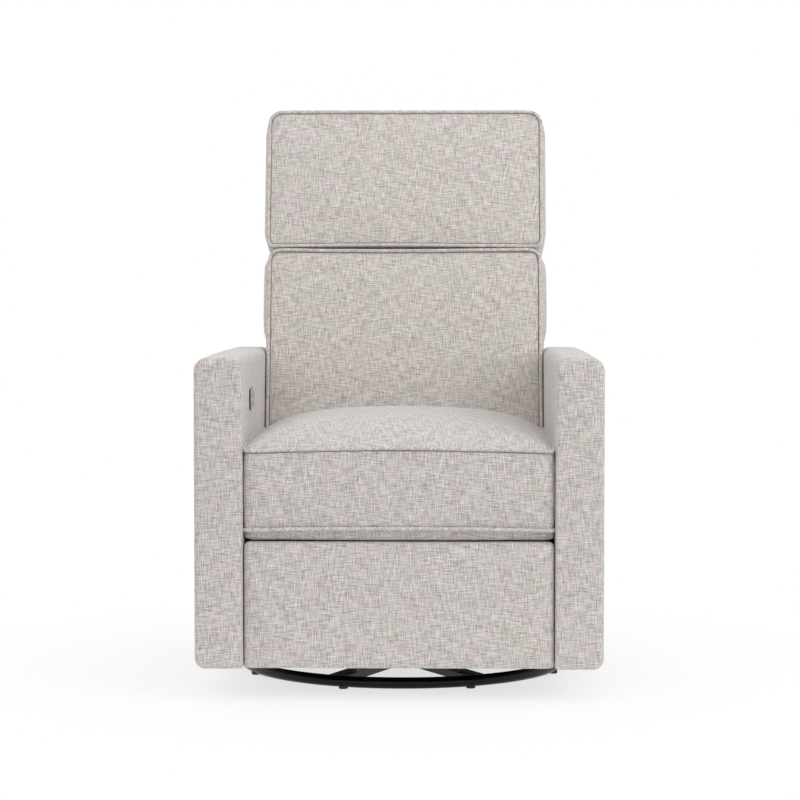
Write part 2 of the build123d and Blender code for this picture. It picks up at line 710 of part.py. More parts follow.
def make_actuators():
    """Two linear actuators, back to back on the middle cross tube."""
    yoke_reach = CRANK_PIN_R + YOKE_PLAY + YOKE_WALL / 2
    cases = (
        ("legrest", LEG_ROD_Z, -1, SWING_PIVOT, CRANK_R, CRANK_REST_ANGLE, LEG_TUBE_END_Y),
        ("recline", BACK_ROD_Z, 1, (HINGE_Y, HINGE_Z), BACK_CRANK_R, BACK_CRANK_ANGLE, BACK_TUBE_END_Y),
    )
    for name, z, way, pivot, radius, angle, tube_end in cases:
        pin_y = crank_pin(pivot, radius, angle)[0]
        rod_end = pin_y - way * yoke_reach
        rod_start = rod_end - way * ROD_LENGTH
        rod = rod_y(0, z, ROD_R, min(rod_start, rod_end), max(rod_start, rod_end))
        rod += slotted_yoke(pin_y, z)
        keep(name + "_actuator_rod", rod)

        near = way * ACTUATOR_GAP
        gear_end = near + way * GEARBOX_LENGTH
        body = rod_y(0, z, ACTUATOR_R, min(near, tube_end), max(near, tube_end))
        body += block(
            (-GEARBOX_HALF_X, GEARBOX_HALF_X),
            (min(near, gear_end), max(near, gear_end)),
            (z - GEARBOX_RISE, z + GEARBOX_RISE),
        )
        motor_y = (near + gear_end) / 2
        body += rod_z(0, motor_y, MOTOR_R, z - GEARBOX_RISE - MOTOR_LENGTH, z - GEARBOX_RISE)
        bore_start = near + way * BEAM_WALL
        body -= rod_y(0, z, ROD_R + PIN_CLEARANCE, min(bore_start, tube_end), max(bore_start, tube_end))
        keep(name + "_actuator", body)

    mount = block(
        (-GEARBOX_HALF_X, GEARBOX_HALF_X),
        (-ACTUATOR_GAP, ACTUATOR_GAP),
        (MID_TUBE_Z - CROSS_TUBE_R, BACK_ROD_Z + GEARBOX_RISE),
    )
    mount -= rod_x(0, MID_TUBE_Z, CROSS_TUBE_R, -GEARBOX_HALF_X, GEARBOX_HALF_X)
    keep("actuator_mount", *mount.solids())


def make_legrest():
    """The folding linkage of the leg rest, its torque tube and the padded panel."""
    torque = rod_x(*SWING_PIVOT, TORQUE_TUBE_R, -swing_layer[0], swing_layer[0])
    torque -= rod_x(*SWING_PIVOT, TORQUE_TUBE_R - TORQUE_TUBE_WALL, -swing_layer[0], swing_layer[0])
    pin = crank_pin(SWING_PIVOT, CRANK_R, CRANK_REST_ANGLE)
    web_in = ROD_R + 2 * SIDE_GAP
    web_outline = bar_outline(SWING_PIVOT, pin, CRANK_WEB_WIDTH)
    web_outline -= Pos(*SWING_PIVOT) * Circle(TORQUE_TUBE_R)
    webs = both_sides(plate(web_outline, web_in, web_in + CRANK_WEB_T))
    crank_rod = rod_x(*pin, CRANK_PIN_R, -web_in - CRANK_WEB_T, web_in + CRANK_WEB_T)
    keep("legrest_torque_tube", torque + webs[0] + webs[1] + crank_rod)

    hole = Circle(RIVET_R + PIN_CLEARANCE)
    swing = bar_outline(SWING_PIVOT, guide_pivot, BAR_WIDTH)
    swing -= Pos(*SWING_PIVOT) * Circle(CRANK_PIN_R + PIN_CLEARANCE)
    for pivot in (fold_pivot, guide_pivot):
        swing -= Pos(*pivot) * hole
    keep("legrest_swing_bars", *both_sides(plate(swing, *swing_layer)))

    steer = bar_outline(steer_pivot, steer_end, BAR_WIDTH)
    steer -= Pos(*steer_pivot) * Circle(CRANK_PIN_R + PIN_CLEARANCE)
    steer -= Pos(*steer_end) * hole
    keep("legrest_steering_bars", *both_sides(plate(steer, *swing_layer)))

    fold = plate(bar_outline(steer_end, PANEL_PIVOT, BAR_WIDTH), *fold_layer)
    for pivot in (steer_end, fold_pivot, PANEL_PIVOT):
        fold += rod_x(*pivot, RIVET_R, fold_layer[0], swing_layer[1])
    keep("legrest_fold_bars", *both_sides(fold))

    guide = plate(bar_outline(guide_pivot, bracket_pivot, BAR_WIDTH), *guide_layer)
    for pivot in (guide_pivot, bracket_pivot):
        guide += rod_x(*pivot, RIVET_R, swing_layer[0], guide_layer[1])
    keep("legrest_guide_bars", *both_sides(guide))

    web = bar_outline(PANEL_PIVOT, bracket_pivot, BAR_WIDTH)
    edge_y = (board_rear_y + BAR_T / 2, (BRACKET_LOW_Z + BRACKET_TOP_Z) / 2)
    edge = Pos(*edge_y) * Rectangle(BAR_T, BRACKET_TOP_Z - BRACKET_LOW_Z)
    web = make_hull((web + edge).edges())
    for pivot in (PANEL_PIVOT, bracket_pivot):
        web -= Pos(*pivot) * hole
    bracket = plate(web, *swing_layer)
    bracket += block(
        (swing_layer[1] - BRACKET_WIDTH, swing_layer[1]),
        (board_rear_y, board_rear_y + BAR_T),
        (BRACKET_LOW_Z, BRACKET_TOP_Z),
    )
    keep("legrest_brackets", *both_sides(bracket))

    board_half = panel_half - BOARD_INSET
    board_z = (PANEL_LOW_Z + BOARD_INSET, PANEL_TOP_Z - BOARD_INSET)
    keep("legrest_board", block((-board_half, board_half), (board_front_y, board_rear_y), board_z))

    def section(x):
        fullness = 1 - (x / panel_half) ** 4
        edge_y = FRONT_Y + PANEL_CROWN
        front_y = edge_y - PANEL_CROWN * (0.15 + 0.85 * fullness)
        low_front = (edge_y, PANEL_LOW_Z)
        top_front = (edge_y, PANEL_TOP_Z)
        low_rear = (board_front_y, PANEL_LOW_Z)
        top_rear = (board_front_y, PANEL_TOP_Z)
        return [
            Line(low_front, low_rear),
            Line(low_rear, top_rear),
            Line(top_rear, top_front),
            ThreePointArc(top_front, (front_y, (PANEL_LOW_Z + PANEL_TOP_Z) / 2), low_front),
        ]

    end = panel_half
    keep("legrest_cushion", soft_form([-end, -0.8 * end, 0, 0.8 * end, end], section))


def make_back():
    """Frame, hinge brackets, crank, outside cover and cushion of the back."""
    frame_v = (POST_FRONT_V, POST_FRONT_V + POST_DEPTH)
    post_in = post_out - POST_WIDTH
    low_w = BACK_LOW_W
    top_w = BACK_TOP_W - SOFT_GAP
    posts = both_sides(block((post_in, post_out), frame_v, (low_w, top_w)))
    rails = [
        block((-post_in, post_in), frame_v, (low_w, low_w + FRAME_RAIL_HEIGHT)),
        block((-post_in, post_in), frame_v, (top_w - FRAME_RAIL_HEIGHT, top_w)),
    ]
    keep("back_frame", *[on_back(piece) for piece in posts + rails])

    post_v = (frame_v[0] + frame_v[1]) / 2
    outline = Circle(BACK_BRACKET_R)
    neck = (post_v, low_w + POST_DEPTH)
    outline += bar_outline((0, 0), neck, BACK_NECK_WIDTH)
    outline += bar_outline(neck, (post_v, low_w + BACK_BRACKET_HEIGHT), BACK_NECK_WIDTH)
    outline -= Circle(HINGE_PIN_R + PIN_CLEARANCE)
    bracket = plate(outline, post_out, post_out + BRACKET_T)
    keep("back_hinge_brackets", *[on_back(piece) for piece in both_sides(bracket)])

    pin = crank_pin((0, 0), BACK_CRANK_R, BACK_CRANK_ANGLE + BACK_LEAN)
    web_in = ROD_R + 2 * SIDE_GAP
    root = (frame_v[0] + CRANK_WEB_WIDTH / 2, low_w + FRAME_RAIL_HEIGHT / 2)
    web = bar_outline(root, pin, CRANK_WEB_WIDTH)
    web -= Pos(post_v, low_w + FRAME_RAIL_HEIGHT / 2) * Rectangle(POST_DEPTH, FRAME_RAIL_HEIGHT)
    webs = both_sides(plate(web, web_in, web_in + CRANK_WEB_T))
    crank_rod = rod_x(*pin, CRANK_PIN_R, -web_in - CRANK_WEB_T, web_in + CRANK_WEB_T)
    keep("back_crank", on_back(webs[0] + webs[1] + crank_rod))

    outer = block((-cover_half, cover_half), (POST_FRONT_V, COVER_REAR_V), (low_w, BACK_TOP_W))
    inner_half = cover_half - COVER_WALL
    outer -= block((-inner_half, inner_half), (POST_FRONT_V, COVER_REAR_V - COVER_WALL), (low_w, BACK_TOP_W))
    keep("back_cover", on_back(outer))

    rear_v = POST_FRONT_V - SOFT_GAP

    def section(x):
        fullness = 1 - (x / back_high_half) ** 4
        edge_v = BACK_FRONT_V + BACK_CROWN
        front_v = edge_v - BACK_CROWN * (0.1 + 0.9 * fullness)
        low_front = (edge_v, low_w)
        top_front = (edge_v, BACK_TOP_W)
        return [
            Line(low_front, (rear_v, low_w)),
            Line((rear_v, low_w), (rear_v, BACK_TOP_W)),
            Line((rear_v, BACK_TOP_W), top_front),
            ThreePointArc(top_front, (front_v, (low_w + BACK_TOP_W) / 2), low_front),
        ]

    end = back_high_half
    padded = soft_form([-end, -0.8 * end, 0, 0.8 * end, end], section)
    waist = (back_low_half, BACK_WAIST_W)
    shoulder = (back_high_half, BACK_SHOULDER_W)
    turn_w = (BACK_WAIST_W + BACK_SHOULDER_W) / 2
    top = (back_top_half, BACK_TOP_W)
    bow = ((shoulder[0] + top[0]) / 2 + SOFT_GAP, (shoulder[1] + top[1]) / 2)
    front_half = make_face([
        Line((0, low_w), (back_low_half, low_w)),
        Line((back_low_half, low_w), waist),
        Bezier(waist, (waist[0], turn_w), (shoulder[0], turn_w), shoulder),
        ThreePointArc(shoulder, bow, top),
        Line(top, (0, BACK_TOP_W)),
        Line((0, BACK_TOP_W), (0, low_w)),
    ])
    front_view = front_half + mirror(front_half, about=Plane.YZ)
    depth = rear_v - BACK_FRONT_V
    prism = extrude(Plane.XZ.offset(-rear_v) * front_view, amount=2 * depth)
    keep("back_cushion", on_back(padded & prism))


def make_headrest():
    """The tilting headrest: hinge arms from the back, ears and board inside the padding."""
    pivot = (BACK_FRONT_V + HEAD_ROUND_R, HEAD_LOW_W + HEAD_ROUND_R)
    arm_x = (head_arm_x, head_arm_x + HEAD_ARM_T)
    ear_x = (arm_x[1] + SIDE_GAP, arm_x[1] + SIDE_GAP + HEAD_ARM_T)
    rail_v = POST_FRONT_V + POST_DEPTH / 2
    rail_w = BACK_TOP_W - SOFT_GAP - FRAME_RAIL_HEIGHT / 2
    knee = (rail_v, pivot[1])

    outline = bar_outline(pivot, knee, HEAD_ARM_WIDTH) + bar_outline(knee, (rail_v, rail_w), HEAD_ARM_WIDTH)
    outline -= Pos(*pivot) * Circle(HEAD_PIN_R + PIN_CLEARANCE)
    arm = plate(outline, *arm_x)
    slot = plate(bar_outline(knee, (rail_v, rail_w), HEAD_ARM_WIDTH), *arm_x)
    keep("headrest_hinge_arms", *[on_back(piece) for piece in both_sides(arm)])
    for index, piece in enumerate(nodes["back_frame"]):
        if index == 3:
            nodes["back_frame"][index] = piece - on_back(slot) - on_back(mirror(slot, about=Plane.YZ))

    board_v = (HEAD_BOARD_V, HEAD_BOARD_V + HEAD_BOARD_T)
    board_low = pivot[1] + HEAD_ARM_WIDTH
    board_w = (board_low, board_low + HEAD_BOARD_HEIGHT)
    board = block((-head_board_half, head_board_half), board_v, board_w)

    ear_root = (board_v[0] - HEAD_ARM_WIDTH / 2, board_low + HEAD_ARM_WIDTH)
    ear_elbow = (pivot[0], pivot[1])
    ear_outline = bar_outline(ear_elbow, ear_root, HEAD_ARM_WIDTH)
    ear = plate(ear_outline, *ear_x)
    ear += rod_x(*pivot, HEAD_PIN_R, arm_x[0], ear_x[1])
    keep("headrest_hinge_ears", *[on_back(piece) for piece in both_sides(ear)])
    keep("headrest_board", on_back(board))

    front_v = BACK_FRONT_V
    rear_v = COVER_REAR_V

    def section(x):
        fullness = 1 - (x / head_half) ** 4
        drawn = HEAD_CROWN * (1 - fullness)
        low_start = (pivot[0], HEAD_LOW_W)
        low_turn = along(pivot, (-cos(radians(45)), -sin(radians(45))), HEAD_ROUND_R)
        front_low = (front_v, pivot[1])
        front_top = (front_v + drawn, HEAD_TOP_W - HEAD_TOP_R)
        middle_v = front_v + drawn / 2 - HEAD_CROWN * (0.1 + fullness) / 4
        front_middle = (middle_v, (front_low[1] + front_top[1]) / 2)
        top_front = (front_v + HEAD_TOP_R + drawn, HEAD_TOP_W - drawn)
        top_turn = (front_v + drawn + 0.3 * HEAD_TOP_R, HEAD_TOP_W - drawn - 0.3 * HEAD_TOP_R)
        top_rear = (rear_v - HEAD_TOP_R, HEAD_TOP_W - drawn)
        rear_turn = (rear_v - 0.3 * HEAD_TOP_R, HEAD_TOP_W - drawn - 0.3 * HEAD_TOP_R)
        rear_top = (rear_v, HEAD_TOP_W - HEAD_TOP_R - drawn)
        rear_low = (rear_v, HEAD_LOW_W)
        return [
            ThreePointArc(low_start, low_turn, front_low),
            ThreePointArc(front_low, front_middle, front_top),
            ThreePointArc(front_top, top_turn, top_front),
            Line(top_front, top_rear),
            ThreePointArc(top_rear, rear_turn, rear_top),
            Line(rear_top, rear_low),
            Line(rear_low, low_start),
        ]

    end = head_half
    padded = soft_form([-end, -0.85 * end, 0, 0.85 * end, end], section)
    middle_w = (HEAD_LOW_W + HEAD_TOP_W) / 2
    low_side = (head_end_half, HEAD_LOW_W)
    top_side = (head_end_half, HEAD_TOP_W - HEAD_TOP_R)
    top_corner = (head_end_half - 0.3 * HEAD_TOP_R, HEAD_TOP_W - 0.3 * HEAD_TOP_R)
    top_end = (head_end_half - HEAD_TOP_R, HEAD_TOP_W)
    front_half = make_face([
        Line((0, HEAD_LOW_W), low_side),
        ThreePointArc(low_side, (head_half, middle_w), top_side),
        ThreePointArc(top_side, top_corner, top_end),
        Line(top_end, (0, HEAD_TOP_W)),
        Line((0, HEAD_TOP_W), (0, HEAD_LOW_W)),
    ])
    front_view = front_half + mirror(front_half, about=Plane.YZ)
    prism = extrude(Plane.XZ.offset(-rear_v) * front_view, amount=2 * (rear_v - front_v))
    padded = padded & prism
    room = SOFT_GAP
    padded -= block(
        (-head_board_half - room, head_board_half + room),
        (board_v[0] - room, board_v[1] + room),
        (board_w[0] - room, board_w[1] + room),
    )
    pocket_x = (arm_x[0] - SIDE_GAP, ear_x[1] + SIDE_GAP)
    pocket = block(
        pocket_x,
        (pivot[0] - HEAD_ARM_WIDTH / 2 - room, board_v[0]),
        (HEAD_LOW_W, board_low + 1.5 * HEAD_ARM_WIDTH + room),
    )
    pocket += block(
        pocket_x,
        (pivot[0], rail_v + HEAD_ARM_WIDTH / 2 + room),
        (HEAD_LOW_W, pivot[1] + HEAD_ARM_WIDTH / 2 + room),
    )
    padded = padded - pocket - mirror(pocket, about=Plane.YZ)
    keep("headrest_cushion", on_back(padded))


race_groove = make_base()
make_ball_ring()
make_turntable(race_groove)
make_swing_links()
make_side_plates()
make_seat_frame()
make_seat_cushion()
make_arms()
make_controls()
make_rear_panel()
make_actuators()
make_legrest()
make_back()
make_headrest()

os.makedirs("parts", exist_ok=True)
for name, solids in nodes.items():
    shape = solids[0] if len(solids) == 1 else Compound(children=solids)
    export_step(shape, os.path.join("parts", name + ".step"))
print(len(nodes), "nodes written")
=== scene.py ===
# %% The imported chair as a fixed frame
import json
import math

import bmesh
import bpy
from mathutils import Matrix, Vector, kdtree
from mathutils.bvhtree import BVHTree


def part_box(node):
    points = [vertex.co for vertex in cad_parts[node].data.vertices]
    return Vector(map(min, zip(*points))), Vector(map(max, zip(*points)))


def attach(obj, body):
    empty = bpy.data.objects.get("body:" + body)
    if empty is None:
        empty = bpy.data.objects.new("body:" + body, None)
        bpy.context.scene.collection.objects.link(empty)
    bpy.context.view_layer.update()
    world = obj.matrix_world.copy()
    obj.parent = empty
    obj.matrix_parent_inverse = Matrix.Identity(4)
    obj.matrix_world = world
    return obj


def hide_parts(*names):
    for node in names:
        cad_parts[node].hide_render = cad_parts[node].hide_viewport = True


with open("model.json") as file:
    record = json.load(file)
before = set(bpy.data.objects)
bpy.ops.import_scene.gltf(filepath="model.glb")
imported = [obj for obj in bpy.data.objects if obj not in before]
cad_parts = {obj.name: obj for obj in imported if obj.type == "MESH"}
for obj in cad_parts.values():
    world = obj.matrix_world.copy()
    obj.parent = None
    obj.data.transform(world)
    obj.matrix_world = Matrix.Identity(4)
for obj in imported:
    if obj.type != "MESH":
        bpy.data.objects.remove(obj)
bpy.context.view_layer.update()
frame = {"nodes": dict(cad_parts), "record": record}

record = frame["record"]

# %% [markdown]
# # A swivel glider chair in heathered upholstery
# The rigid mechanism comes from the frame and keeps its shape. Everything padded is made here. Headrest,
# back, seat and leg rest are sewn boxes of cloth over foam: each starts as a plain boxed form and is blown
# up a little by a cloth simulation. Headrest, back and seat are held along their seams and get piped seams
# (welts) laid on the swollen surface. The arms and boards are firm, so they need no simulation. One frame is
# used all through: metres, the chair faces -Y, +X is to the right as seen from the front, +Z is up.

# %% Sizes in metres and the leaning frame of the back
MM = 0.001
joint_at = {joint["name"]: joint for joint in record["behaviour"]["joints"]}
HINGE = Vector(joint_at["recline"]["pos_m"])
BACK_LEAN = math.radians(14.0)


def on_back(x, v, w):
    """A point of the leaning back: x across, v towards the rear and w up the back from its hinge."""
    y = HINGE.y + v * math.cos(BACK_LEAN) + w * math.sin(BACK_LEAN)
    z = HINGE.z - v * math.sin(BACK_LEAN) + w * math.cos(BACK_LEAN)
    return Vector((x, y, z))


def upright(x, y, z):
    """A point of the seat, arms and leg rest, which stand square to the frame."""
    return Vector((x, y, z))


arm_low, arm_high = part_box("arm_cover_right")
seat_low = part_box("seat_cushion")[0]
panel_low, panel_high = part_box("legrest_cushion")
print("hinge", tuple(round(c, 3) for c in HINGE), "arm", tuple(arm_low), tuple(arm_high))

# %% [markdown]
# ## Finishes
# A finish here is a small tree of nodes. One helper adds a node, sets its options and links or sets its
# inputs, so that each finish reads like a list. Colours are written as the sRGB hex that a colour picker
# shows, and one function turns them into the linear values that the shader wants.

# %% Helpers for finishes


def linear(hex_colour):
    """Linear RGBA from an sRGB hex colour."""
    parts = [int(hex_colour[i:i + 2], 16) / 255 for i in (1, 3, 5)]
    parts = [c / 12.92 if c <= 0.04045 else ((c + 0.055) / 1.055) ** 2.4 for c in parts]
    return (*parts, 1.0)


def add_node(tree, kind, inputs=None, **settings):
    """Add a node with its settings, and set or link its inputs."""
    node = tree.nodes.new(kind)
    for name, value in settings.items():
        setattr(node, name, value)
    for socket, value in (inputs or {}).items():
        if isinstance(value, bpy.types.NodeSocket):
            tree.links.new(value, node.inputs[socket])
        else:
            node.inputs[socket].default_value = value
    return node


def new_finish(name, **shader):
    """An empty finish with its shader, whose constant values are set on the shader's own sockets."""
    finish = bpy.data.materials.new(name)
    finish.use_nodes = True
    tree = finish.node_tree
    surface = tree.nodes["Principled BSDF"]
    for socket, value in shader.items():
        surface.inputs[socket.replace("_", " ")].default_value = value
    return finish, tree, surface


def colour_stops(ramp, stops):
    """Fill a colour ramp from (position, hex colour) pairs."""
    elements = ramp.color_ramp.elements
    while len(elements) < len(stops):
        elements.new(0.5)
    for element, (position, colour) in zip(elements, stops):
        element.position = position
        element.color = linear(colour)


# %% [markdown]
# ### Heathered upholstery
# The cover is a plain-woven polyester and linen-look cloth. Its yarns are spun from pale and grey-brown
# fibres mixed, so no thread is one colour: the eye reads a light warm grey with fine dark and pale flecks,
# slubs along both thread directions and a faint drift between pinkish and greenish grey. Real threads are
# about 0.7 mm wide, which is finer than a pixel of the picture, so slubs are drawn nearly two threads
# wide. Two noises, stretched along the warp and along the weft, are added to a finer grain, and the sum
# picks the colour and lifts the bump. A turn of the stretched noises keeps their cells from lining up.

# %% Heathered upholstery finish
THREAD_WIDTH = 1.2 * MM
SLUB_LENGTH = 26.0 * MM
FLECK_SIZE = 0.55 * MM
FLECK_SHARE = 1.4
THREAD_TURN = math.radians(35)
DRIFT_SIZE = 45.0 * MM
CLOTH_COLOURS = ((0.0, "#6E6866"), (0.28, "#A8A3A0"), (0.5, "#CFCAC8"), (0.72, "#E5E2E1"), (1.0, "#F8F7F6"))


def heathered_upholstery():
    """Woven cloth of mixed pale and grey-brown fibres, matt with a little sheen."""
    finish, tree, surface = new_finish(
        "heathered_woven_upholstery", Roughness=0.95, Specular_IOR_Level=0.2,
        Sheen_Weight=0.55, Sheen_Roughness=0.5,
    )
    place = add_node(tree, "ShaderNodeUVMap", uv_map="weave").outputs["UV"]
    noises = []
    for across, along in (
        (THREAD_WIDTH, SLUB_LENGTH), (SLUB_LENGTH, THREAD_WIDTH),
        (FLECK_SIZE, FLECK_SIZE), (DRIFT_SIZE, DRIFT_SIZE),
    ):
        mapped = add_node(tree, "ShaderNodeMapping", {
            "Vector": place, "Scale": (1 / across, 1 / along, 1.0), "Rotation": (0.0, 0.0, THREAD_TURN),
        })
        noise = add_node(tree, "ShaderNodeTexNoise", {
            "Vector": mapped.outputs["Vector"], "Scale": 1.0, "Detail": 2.0, "Roughness": 0.6,
        })
        noises.append(noise.outputs["Fac"])
    warp, weft, fleck, drift = noises
    threads = add_node(tree, "ShaderNodeMath", {0: warp, 1: weft}, operation="ADD").outputs[0]
    grain = add_node(
        tree, "ShaderNodeMath", {0: fleck, 1: FLECK_SHARE, 2: threads}, operation="MULTIPLY_ADD",
    ).outputs[0]
    level = add_node(tree, "ShaderNodeMapRange", {
        "Value": grain, "From Min": 1.37, "From Max": 2.02,
    }).outputs["Result"]
    ramp = add_node(tree, "ShaderNodeValToRGB", {"Fac": level})
    colour_stops(ramp, CLOTH_COLOURS)
    tint = add_node(tree, "ShaderNodeValToRGB", {"Fac": drift})
    colour_stops(tint, ((0.35, "#FDF6F4"), (0.65, "#F8F8F3")))
    dyed = add_node(tree, "ShaderNodeMix", {
        "Factor": 1.0, 6: ramp.outputs["Color"], 7: tint.outputs["Color"],
    }, data_type="RGBA", blend_type="MULTIPLY")
    tree.links.new(dyed.outputs[2], surface.inputs["Base Color"])
    bump = add_node(tree, "ShaderNodeBump", {"Height": level, "Strength": 0.4, "Distance": 0.7 * MM})
    tree.links.new(bump.outputs["Normal"], surface.inputs["Normal"])
    return finish


upholstery = heathered_upholstery()
print("finish", upholstery.name)

# %% [markdown]
# ### Hard finishes
# The base ring and the swivel frame are steel tube and plate with a black gloss powder coat: a dark skin with
# a clear highlight and a faint orange-peel ripple. The links and pins are zinc plated, so they are a dull
# bluish metal with cloudy roughness. Frame rails are beech; where they show in gaps they are darkened to
# near black, which is painted shade for those shadowed gaps. Plastic parts are black ABS with a fine spark
# texture from the mould, the buttons are a matt silver, and the feet are black nylon.

# %% Hard finishes
SURFACE_GRAIN = {"Scale": 1.0, "Detail": 3.0, "Roughness": 0.55}


def surface_noise(tree, grain_size, stretch=(1.0, 1.0, 1.0)):
    """A noise over the object's own coordinates, with a grain of the given size."""
    where = add_node(tree, "ShaderNodeTexCoord").outputs["Object"]
    scale = [s / grain_size for s in stretch]
    mapped = add_node(tree, "ShaderNodeMapping", {"Vector": where, "Scale": scale})
    noise = add_node(tree, "ShaderNodeTexNoise", {"Vector": mapped.outputs["Vector"], **SURFACE_GRAIN})
    return noise.outputs["Fac"]


def uneven_hard_finish(name, dark, light, grain_size, rough, bump_height, stretch=(1.0, 1.0, 1.0), **shader):
    """A hard finish whose colour, gloss and height vary with one noise."""
    finish, tree, surface = new_finish(name, **shader)
    noise = surface_noise(tree, grain_size, stretch)
    ramp = add_node(tree, "ShaderNodeValToRGB", {"Fac": noise})
    colour_stops(ramp, ((0.3, dark), (0.7, light)))
    gloss = add_node(tree, "ShaderNodeMapRange", {"Value": noise, "To Min": rough[0], "To Max": rough[1]})
    bump = add_node(tree, "ShaderNodeBump", {"Height": noise, "Strength": 0.4, "Distance": bump_height})
    tree.links.new(ramp.outputs["Color"], surface.inputs["Base Color"])
    tree.links.new(gloss.outputs["Result"], surface.inputs["Roughness"])
    tree.links.new(bump.outputs["Normal"], surface.inputs["Normal"])
    return finish


powder_coat = uneven_hard_finish(
    "black_gloss_powder_coated_steel", "#030303", "#060607", 5 * MM, (0.16, 0.24), 0.01 * MM,
    Specular_IOR_Level=0.2,
)
zinc_plate = uneven_hard_finish(
    "zinc_plated_steel", "#8E9194", "#B4B7B9", 6 * MM, (0.3, 0.5), 0.02 * MM, Metallic=1.0,
)
beech = uneven_hard_finish(
    "planed_beech", "#B98E63", "#D4AE84", 3 * MM, (0.5, 0.7), 0.1 * MM, stretch=(1.0, 0.06, 1.0),
)
# Painted shade: beech darkened to near black, so the frame that shows in gaps reads as shadow.
stained_beech = uneven_hard_finish(
    "beech_darkened_as_painted_shade", "#120F0D", "#1E1A17", 3 * MM, (0.55, 0.75), 0.1 * MM, stretch=(1.0, 0.06, 1.0),
)
spark_abs = uneven_hard_finish(
    "spark_textured_black_abs", "#151516", "#1F1F21", 0.8 * MM, (0.45, 0.6), 0.05 * MM,
)
button_abs = uneven_hard_finish(
    "soft_matt_silver_abs", "#B0ACA7", "#BDB9B4", 0.8 * MM, (0.5, 0.62), 0.03 * MM,
)
# Painted shade: the dark tubes beside the welts take this grey-brown in place of the seams' shadowed grooves.
seam_shadow_finish = uneven_hard_finish(
    "grey_brown_painted_seam_shadow", "#776E67", "#8F867D", 1.0 * MM, (0.85, 0.95), 0.1 * MM,
)
foot_plastic = uneven_hard_finish(
    "moulded_black_nylon", "#0A0A0A", "#121212", 1.2 * MM, (0.4, 0.55), 0.03 * MM,
)
webbing = uneven_hard_finish(
    "black_elastic_webbing", "#101010", "#26262A", 2.0 * MM, (0.8, 0.95), 0.3 * MM, stretch=(0.2, 1.0, 1.0),
)
finish_of_slot = {
    "heather_fabric": upholstery,
    "black_steel": powder_coat,
    "zinc_steel": zinc_plate,
    "beech": beech,
    "stained_beech": stained_beech,
    "black_plastic": spark_abs,
    "button_plastic": button_abs,
    "foot_plastic": foot_plastic,
    "webbing": webbing,
}
for part in record["subparts"]:
    piece = frame["nodes"][part["node"]]
    for holder in piece.material_slots:
        holder.material = finish_of_slot[part["material_slot"]]
# Painted shade: the back frame takes the darkened beech, so the gaps around it read as shadow.
for holder in frame["nodes"]["back_frame"].material_slots:
    holder.material = stained_beech
print("finishes", len(finish_of_slot))

# %% [markdown]
# ### Control panel
# The slim panel in the arm has a satin silver face in a black moulded rim, so from the front only its dark
# edge shows as a short line on the cloth. One finish gives both: the face is the part of the solid that
# looks across the chair, so the size of the normal's X picks silver, and the rest stays black.

# %% Control panel finish
panel_finish, panel_tree, panel_surface = new_finish("satin_silver_face_in_black_rim", Roughness=0.42)
look = add_node(panel_tree, "ShaderNodeTexCoord").outputs["Normal"]
across = add_node(panel_tree, "ShaderNodeSeparateXYZ", {"Vector": look}).outputs["X"]
on_face = add_node(panel_tree, "ShaderNodeMath", {0: across, 1: 0.9}, operation="GREATER_THAN").outputs[0]
grain_lines = surface_noise(panel_tree, 0.6 * MM, (1.0, 0.05, 1.0))
silver = add_node(panel_tree, "ShaderNodeValToRGB", {"Fac": grain_lines})
colour_stops(silver, ((0.3, "#B3AFAB"), (0.7, "#C3BFBB")))
tone = add_node(panel_tree, "ShaderNodeMix", {
    "Factor": on_face, 6: linear("#151516"), 7: silver.outputs["Color"],
}, data_type="RGBA")
panel_tree.links.new(tone.outputs[2], panel_surface.inputs["Base Color"])
for holder in frame["nodes"]["control_housing"].material_slots:
    holder.material = panel_finish
print("control panel", panel_finish.name)

# %% [markdown]
# ## Boxed forms
# An upholsterer cuts a front panel and a long strip (the boxing) and sews them edge to edge round foam. In
# mesh terms that is a stack of outlines: rings that grow out from the middle of the front panel to the
# seam, run back along the boxing and close over the rear. The rings need no even quads, because the cloth
# step remeshes them.

# %% Outlines and stacks of rings
CORNER_STEPS = 8
EDGE_STEPS = 40


def rounded_outline(low, high, radii):
    """A closed outline round a box from low to high, with radii for its corners.

    The corners run bottom right, top right, top left, bottom left.
    """
    corners = ((1, -1), (1, 1), (-1, 1), (-1, -1))
    points = []
    for index, ((sx, sy), radius) in enumerate(zip(corners, radii)):
        centre = (
            (high[0] - radius) if sx > 0 else (low[0] + radius),
            (high[1] - radius) if sy > 0 else (low[1] + radius),
        )
        start = math.radians(-90 + 90 * index)
        for step in range(CORNER_STEPS + 1):
            angle = start + math.radians(90) * step / CORNER_STEPS
            points.append((centre[0] + radius * math.cos(angle), centre[1] + radius * math.sin(angle)))
    return divided(points)


def divided(points):
    """Divide each straight run between two corners into EDGE_STEPS parts."""
    dense = []
    for index, (a, b) in enumerate(zip(points, points[1:] + points[:1])):
        parts = EDGE_STEPS if index % (CORNER_STEPS + 1) == CORNER_STEPS else 1
        dense += [(a[0] + (b[0] - a[0]) * k / parts, a[1] + (b[1] - a[1]) * k / parts) for k in range(parts)]
    return dense


def new_piece(name, points, faces, finish=upholstery):
    """A mesh object of the given points and faces."""
    mesh = bpy.data.meshes.new(name)
    mesh.from_pydata([tuple(p) for p in points], [], faces)
    mesh.update()
    piece = bpy.data.objects.new(name, mesh)
    bpy.context.scene.collection.objects.link(piece)
    piece.data.materials.append(finish)
    for polygon in mesh.polygons:
        polygon.use_smooth = True
    return piece


